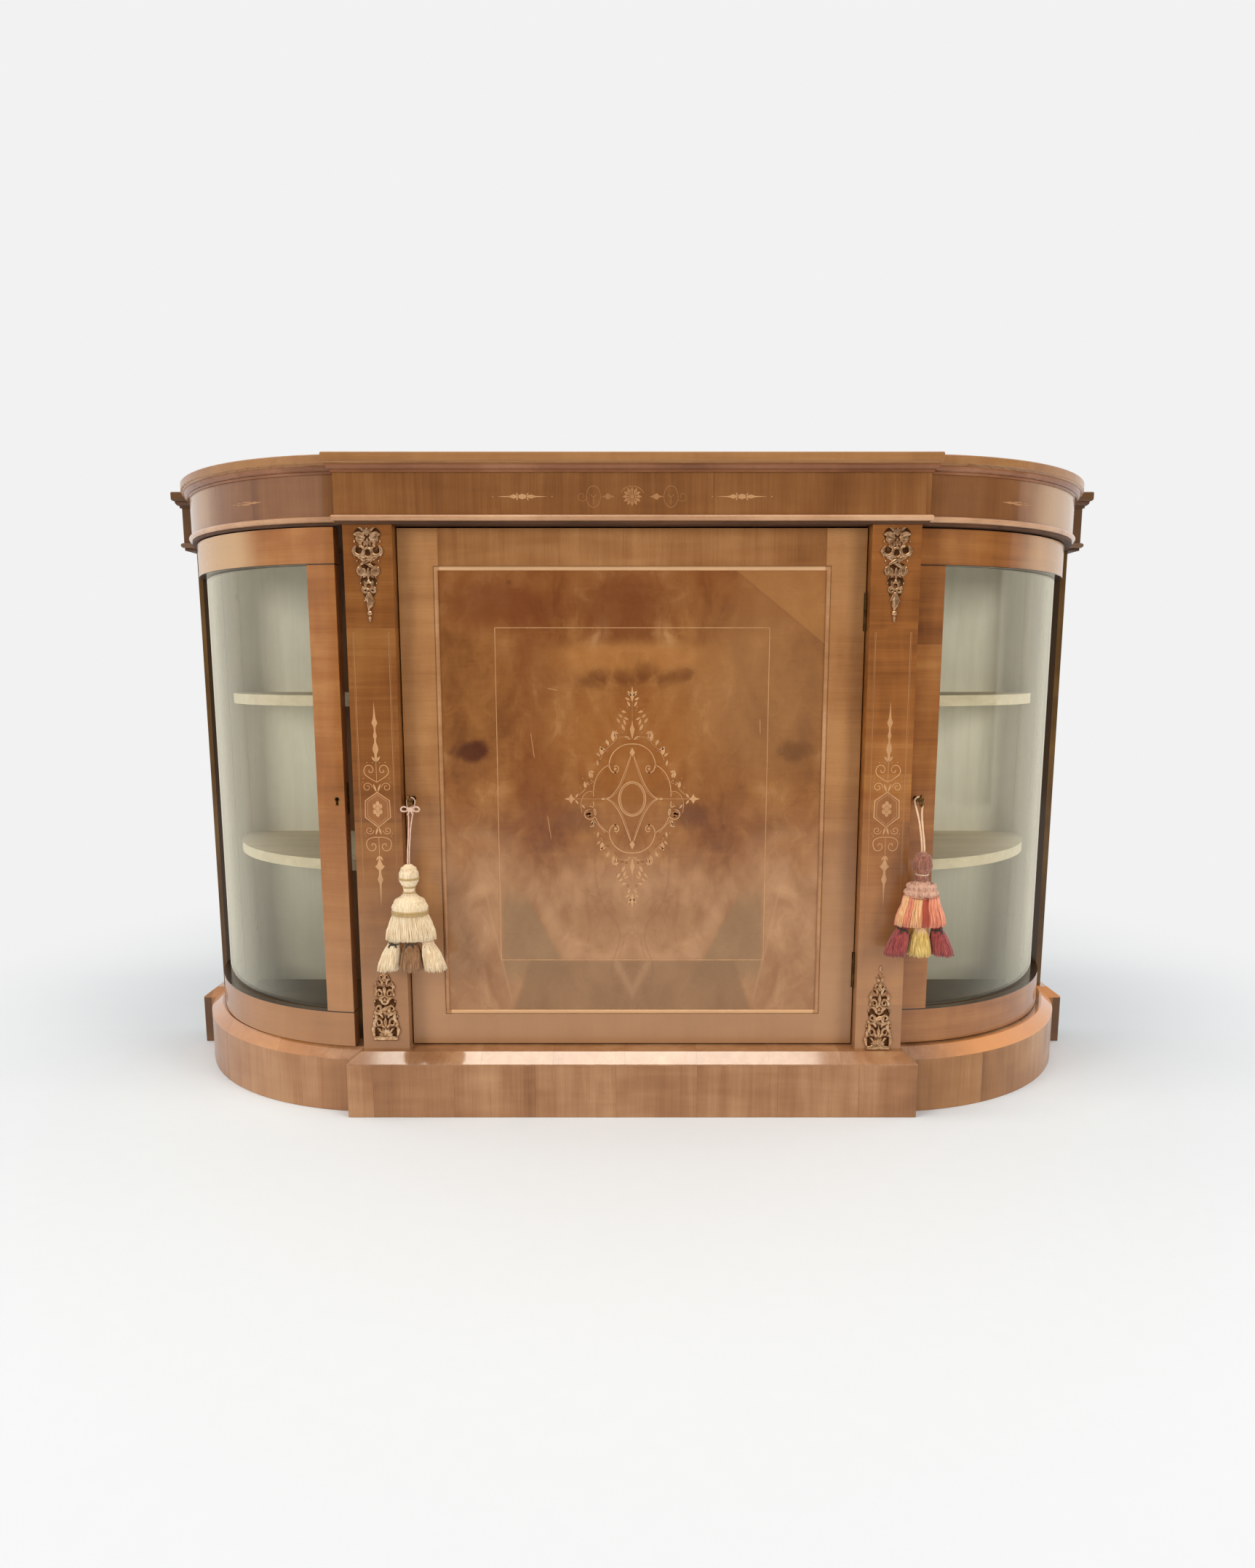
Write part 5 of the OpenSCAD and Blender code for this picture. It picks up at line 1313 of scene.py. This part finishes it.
def upper_mount(side):
    """A palmette over a scrolled cartouche, tapering leaves, and a bud at the foot."""
    m = Relief(side * PIL_X, PIL_Y, 963)
    leaf, scroll, bud = m.leaf, m.scroll, m.bud
    m.ground(MOUNT_H, -1, [(0.09, 0.24, 0.24), (0.27, 0.22, 0.22), (0.44, 0.18, 0.19),
                           (0.58, 0.14, 0.16), (0.70, 0.10, 0.12)])
    m.fan(-13, 2, 4.6, 2.4, [(a, n, n * 0.98) for a, n in (
        (90, 11), (58, 9.5), (122, 9.5), (28, 8), (152, 8))])
    bud(0, -13.5, 3, 2.6, 3.4)
    m.both((leaf, 3, -19, 19, -11, -3.5, 9, 3.6, 2),
           (scroll, 12, -19, 8.4, 2.4, 60, 470, 2.2, 1.1, 2.6),
           (scroll, 12.5, -37, 9.6, 5.5, 100, -250, 2.3, 1.5, 3.0),
           (leaf, 18, -30, 19.5, -49, 3, 6.4, 3.2, 2),
           (leaf, 4, -23, 6.5, -33, -1, 3.8, 2.4),
           (leaf, 15, -48, 3, -58, -3, 7.2, 3.6, 2),
           (scroll, 9.5, -69, 7.2, 2.0, 40, -430, 2.2, 1.0, 2.6),
           (leaf, 13.5, -60, 13, -82, -3.4, 6.6, 3.0, 2),
           (leaf, 6, -84, 9.5, -100, -2.4, 5.6, 2.6, 1),
           (scroll, 5.4, -98, 5.0, 1.6, 30, -400, 1.7, 0.9, 2.2),
           (leaf, 2, -104, 9, -116, -2.0, 5.0, 2.6),
           (leaf, 6, -8, 14, -3, 1.5, 5, 3.0, 1),
           (leaf, 8, -31, 14, -27, 1, 4.4, 2.8),
           (leaf, 5, -48, 10, -40, 1, 4.4, 2.8),
           (leaf, 3, -74, 8, -80, 1, 4.4, 2.8),
           (bud, 20, -24, 2.0, 2.4, 2.8), (bud, 17, -54, 1.8, 2.2, 2.8),
           (bud, 12.5, -88, 1.6, 2.0, 2.6))
    m.draw((leaf, 0, -20, 0, -33, 0, 4.6, 3.2),
           (scroll, 0, -41, 7.2, 7.2, 0, 359, 1.7, 1.7, 2.6, 30),
           (leaf, -12, -60, 10, -50, 1.5, 6.4, 4.2, 2),
           (leaf, 12, -66, -8, -57, -1.5, 5.4, 4.0, 2),
           (leaf, 0, -64, 0, -84, 0, 6.2, 3.4, 2),
           (scroll, 0, -92, 5.4, 5.4, 0, 359, 1.5, 1.5, 2.4, 26),
           (bud, 0, -84, 3, 2.6, 3.4), (bud, 0, -103, 3.4, 3.0, 3.6),
           (leaf, 1, -106, -2, -131, 1.5, 11.5, 4.6, 3, 0.8),
           (leaf, 0, -104, 0, -131, 0, 5, 5.2, 0, 0.8),
           (bud, 0, -134, 4.6, 4.6, 4.4), (bud, 0, -141, 3.0, 3.4, 3.6),
           (leaf, 0, -142, 0, -148, 0, 3.6, 2.4))
    return m


def lower_mount(side):
    """The same scrolls the other way up, over a wide foot."""
    m = Relief(side * PIL_X, PIL_Y, 108 + (LEFT_LIFT if side < 0 else 0),
               MOUNT_H / LOWER_ROWS_H)
    leaf, scroll, bud = m.leaf, m.scroll, m.bud
    m.ground(LOWER_ROWS_H, 1, [(0.09, 0.27, 0.22), (0.26, 0.26, 0.22), (0.43, 0.22, 0.20),
                               (0.58, 0.17, 0.17), (0.71, 0.12, 0.13)])
    # Foot: a moulded sole with a shell on it
    rings = []
    for x in [-19.5 + 39 * i / 20 for i in range(21)]:
        top = 9.5 - 1.2 * abs(math.cos(x * 0.48)) - 0.008 * x * x
        rings.append([m.p(x, z, h) for z, h in ((0.4, 0), (0.4, 3.2), (2.2, 4.4), (4.2, 3.4),
                                                (5.6, 4.2), (top, 2.6), (top, 0))])
    m.shape.rings(rings)
    m.fan(9, 2.5, 5.0, 3.4, [(a, 12.5, 12) for a in (90, 60, 120, 32, 148, 8, 172)])
    bud(0, 9.5, 3.4, 3.0, 4.4)
    m.both((leaf, 19, 6, 18, 29, -2.5, 6.6, 3.6, 2),
           (scroll, 11.5, 28, 8.4, 2.2, 140, 430, 2.3, 1.1, 2.8),
           (leaf, 16.5, 28, 19, 47, 2.5, 6.2, 3.4, 2),
           (scroll, 11, 50, 8.0, 2.2, 120, -420, 2.2, 1.1, 2.8),
           (leaf, 4, 36, 14, 44, 2, 5.6, 3.4, 1),
           (leaf, 3, 60, 15, 68, 2.4, 6.4, 3.6, 2),
           (scroll, 8.6, 74, 6.8, 1.9, 120, 420, 1.9, 1.0, 2.5),
           (leaf, 12, 76, 12.5, 94, -2.8, 5.6, 3.0, 2),
           (leaf, 3, 88, 10.5, 99, 2.0, 5.4, 3.0, 1),
           (scroll, 5.2, 100, 4.8, 1.5, 120, -400, 1.5, 0.9, 2.2),
           (leaf, 1.5, 106, 7.5, 115, 1.6, 4.2, 2.4),
           (leaf, 2, 20, 7, 31, -1, 4.6, 3.0), (leaf, 8, 14, 15, 20, 1, 5.0, 3.2, 1),
           (leaf, 6, 42, 10, 56, 1, 4.8, 3.2), (bud, 20, 38, 2.0, 2.6, 3.0),
           (bud, 17, 62, 2.0, 2.4, 3.0), (bud, 12, 86, 1.8, 2.2, 2.8))
    m.draw((leaf, 0, 21, 0, 40, 0, 6.4, 4.0, 2), (leaf, -11, 46, 12, 58, -1.5, 6.6, 4.4, 2),
           (leaf, 11, 40, -9, 50, 1.5, 5.4, 4.0, 2),
           (scroll, 0, 64, 6.2, 6.2, 0, 359, 1.6, 1.6, 2.6, 28),
           (bud, 0, 64, 3.2, 3.2, 3.8), (leaf, 0, 71, 0, 92, 0, 6.2, 3.6, 2),
           (bud, 0, 95, 3, 2.8, 3.6), (leaf, 0, 97, 0, 114, 0, 6.4, 3.6, 2),
           (bud, 0, 118, 3.0, 3.4, 3.8), (bud, 0, 126.5, 2.6, 3.0, 3.2),
           (leaf, 0, 128, 0, 134, 0, 3.0, 2.2))
    return m


for side, which in SIDES:
    upper_mount(side).build("gilt_relief_upper_" + which, "gilt_mounts_upper")
    lower_mount(side).build("gilt_relief_lower_" + which, "gilt_mounts_lower")


# ---------------------------------------------------------------- packing strip
def packing_strip():
    """It fills the gap under the slab behind, between the ends of the moulding."""
    low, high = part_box("frieze_back")[1][2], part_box("top_slab")[0][2]
    front, rear, cut, half = 0.2005, 0.2175, 0.0012, 0.8262
    profile = [(front, low), (rear - cut, low), (rear, low + cut), (rear, high - cut),
               (rear - cut, high), (front, high)]
    strip = Shape()
    strip.rings([[(half * (k / 6 - 1), y, z) for y, z in profile] for k in range(13)])
    strip.build("top_packing_strip", "case", "carcass_wood", [m_dark_along], smooth=False)


packing_strip()


# ---------------------------------------------------------------- lock furniture
def liner(name, body, to_face):
    """The brass thread let into the wood round a keyhole."""
    shape = Shape()
    r, half, drop, rim = 3.2, 1.7, 9.5, 1.3
    a0 = pi - math.asin(half / r)
    inner = [(r * math.sin(a), r * math.cos(a)) for a in [a0 * (i / 10 - 1) for i in range(21)]]
    inner += [(half, -drop), (-half, -drop)]
    rings = []
    for x, z in inner:
        grow = 1 + rim / math.hypot(x, z)
        out = (x * grow, z * grow) if z > -drop + 1 else (x * (1 + rim / half), z - rim)
        rings.append([to_face(x, z, -0.25), to_face(*out, -0.25), to_face(*out, 1.5),
                      to_face(x, z, 6.0)])
    shape.rings(rings + [rings[0]], 0, False)
    shape.build(name, body, "brass", [m_brass], smooth=False)


def curved_face(x, z, y):
    px = END_KEY_X + x
    return px, CASE_D - math.sqrt((END_R - y) ** 2 - (px - END_CX) ** 2), KEY_Z + z


def left_face(x, z, y):
    px, py, pz = curved_face(-x, z, y)
    return at(*turned(-px, py), pz)


liner("keyhole_liner_centre", "centre_door",
      lambda x, z, y: at(CENTRE_KEY_X + x, DOOR_Y + y, KEY_Z + z))
liner("keyhole_liner_right", "right_door", lambda x, z, y: at(*curved_face(x, z, y)))
liner("keyhole_liner_left", "left_door", left_face)


# ---------------------------------------------------------------- stage and light
BACKDROP = (0.888, 0.888, 0.888, 1)


def floor_material():
    """A pale floor that fades into the plain backdrop far from the part."""
    g = Graph("floor")
    p = g.node("TexCoord").outputs["Object"]
    x, y = g.node("SeparateXYZ", {0: p}).outputs[:2]
    tone = g.ramp(g.add(0.5, g.times(g.noise(p, 30, 2, 0.5), 0.2)),
                  (0.3, (0.82, 0.868, 0.918, 1)), (0.7, (0.84, 0.888, 0.938, 1)))
    lit = g.node("BsdfPrincipled", {"Base Color": tone, "Roughness": 0.9,
                                    "Specular IOR Level": 0.1})
    plain = g.node("Emission", {"Color": BACKDROP, "Strength": 1.0})
    fade = g.times(g.seen(), g.step(g.far(x, y), 0.9, 2.0))
    return g.out(g.shaders(fade, lit, plain))


def grid(n, size, z):
    """Vertices and faces of a level square of n by n cells about the origin."""
    w = n + 1
    return ([(size * (i / n - 0.5), size * (j / n - 0.5), z) for j in range(w) for i in range(w)],
            [(j * w + i, j * w + i + 1, (j + 1) * w + i + 1, (j + 1) * w + i)
             for j in range(n) for i in range(n)])


ground = Shape()
ground.add(*grid(24, 14.0, -0.0004))
floor = ground.piece("floor", [floor_material()])

world = bpy.data.worlds.new("studio")
scene.world = world
g = Graph("studio", world)
g.out(g.shaders(g.seen(), g.node("Background", {0: (1.0, 0.985, 0.96, 1), 1: 0.46}),
                g.node("Background", {0: BACKDROP, 1: 1.0})), "OutputWorld")


def lamp(name, spot, aim, wide, high, power, colour=(1, 0.97, 0.93), shape="RECTANGLE"):
    data = bpy.data.lights.new(name, "AREA")
    data.shape = shape
    data.size = wide
    data.size_y = high
    data.energy = power
    data.color = colour
    ob = bpy.data.objects.new(name, data)
    scene.collection.objects.link(ob)
    ob.location = spot
    ob.rotation_euler = (Vector(aim) - Vector(spot)).to_track_quat("-Z", "Y").to_euler()
    return ob


lamp("overhead", (-0.14, -0.43, 2.5), (-0.14, -0.2, 0.1), 1.78, 0.42, 20, (1, 0.93, 0.80),
     "ELLIPSE")
for name, spot, aim, wide, high, power in (
        ("right_front", (2.5, -2.2, 1.3), (0.2, 0, 0.5), 1.2, 1.2, 45),
        ("left_front", (-2.5, -2.2, 1.3), (-0.2, 0, 0.5), 1.2, 1.2, 40),
        ("right_side", (2.6, 0.9, 1.15), (0.7, 0.1, 0.5), 1.8, 2.2, 14),
        ("left_side", (-2.6, 0.9, 1.15), (-0.7, 0.1, 0.5), 1.8, 2.2, 14)):
    lamp(name, spot, aim, wide, high, power).visible_glossy = False

# The dim room behind the photographer, which only the polish, the glass and the metal show
card = Shape()
card.add([(x, y, z) for z in (-0.0003, 3.4) for x, y in ((-3.1, -4.2), (3.4, -4.2), (4.8, -0.9))],
         [(0, 1, 4, 3), (1, 2, 5, 4)])
room = card.piece("dim_room", [plain_wood("dim_room", (0.26, 0.22, 0.18, 1),
                                          (0.34, 0.29, 0.23, 1), "up", 0.9)])
for ray in ("camera", "diffuse", "transmission", "volume_scatter", "shadow"):
    setattr(room, "visible_" + ray, False)
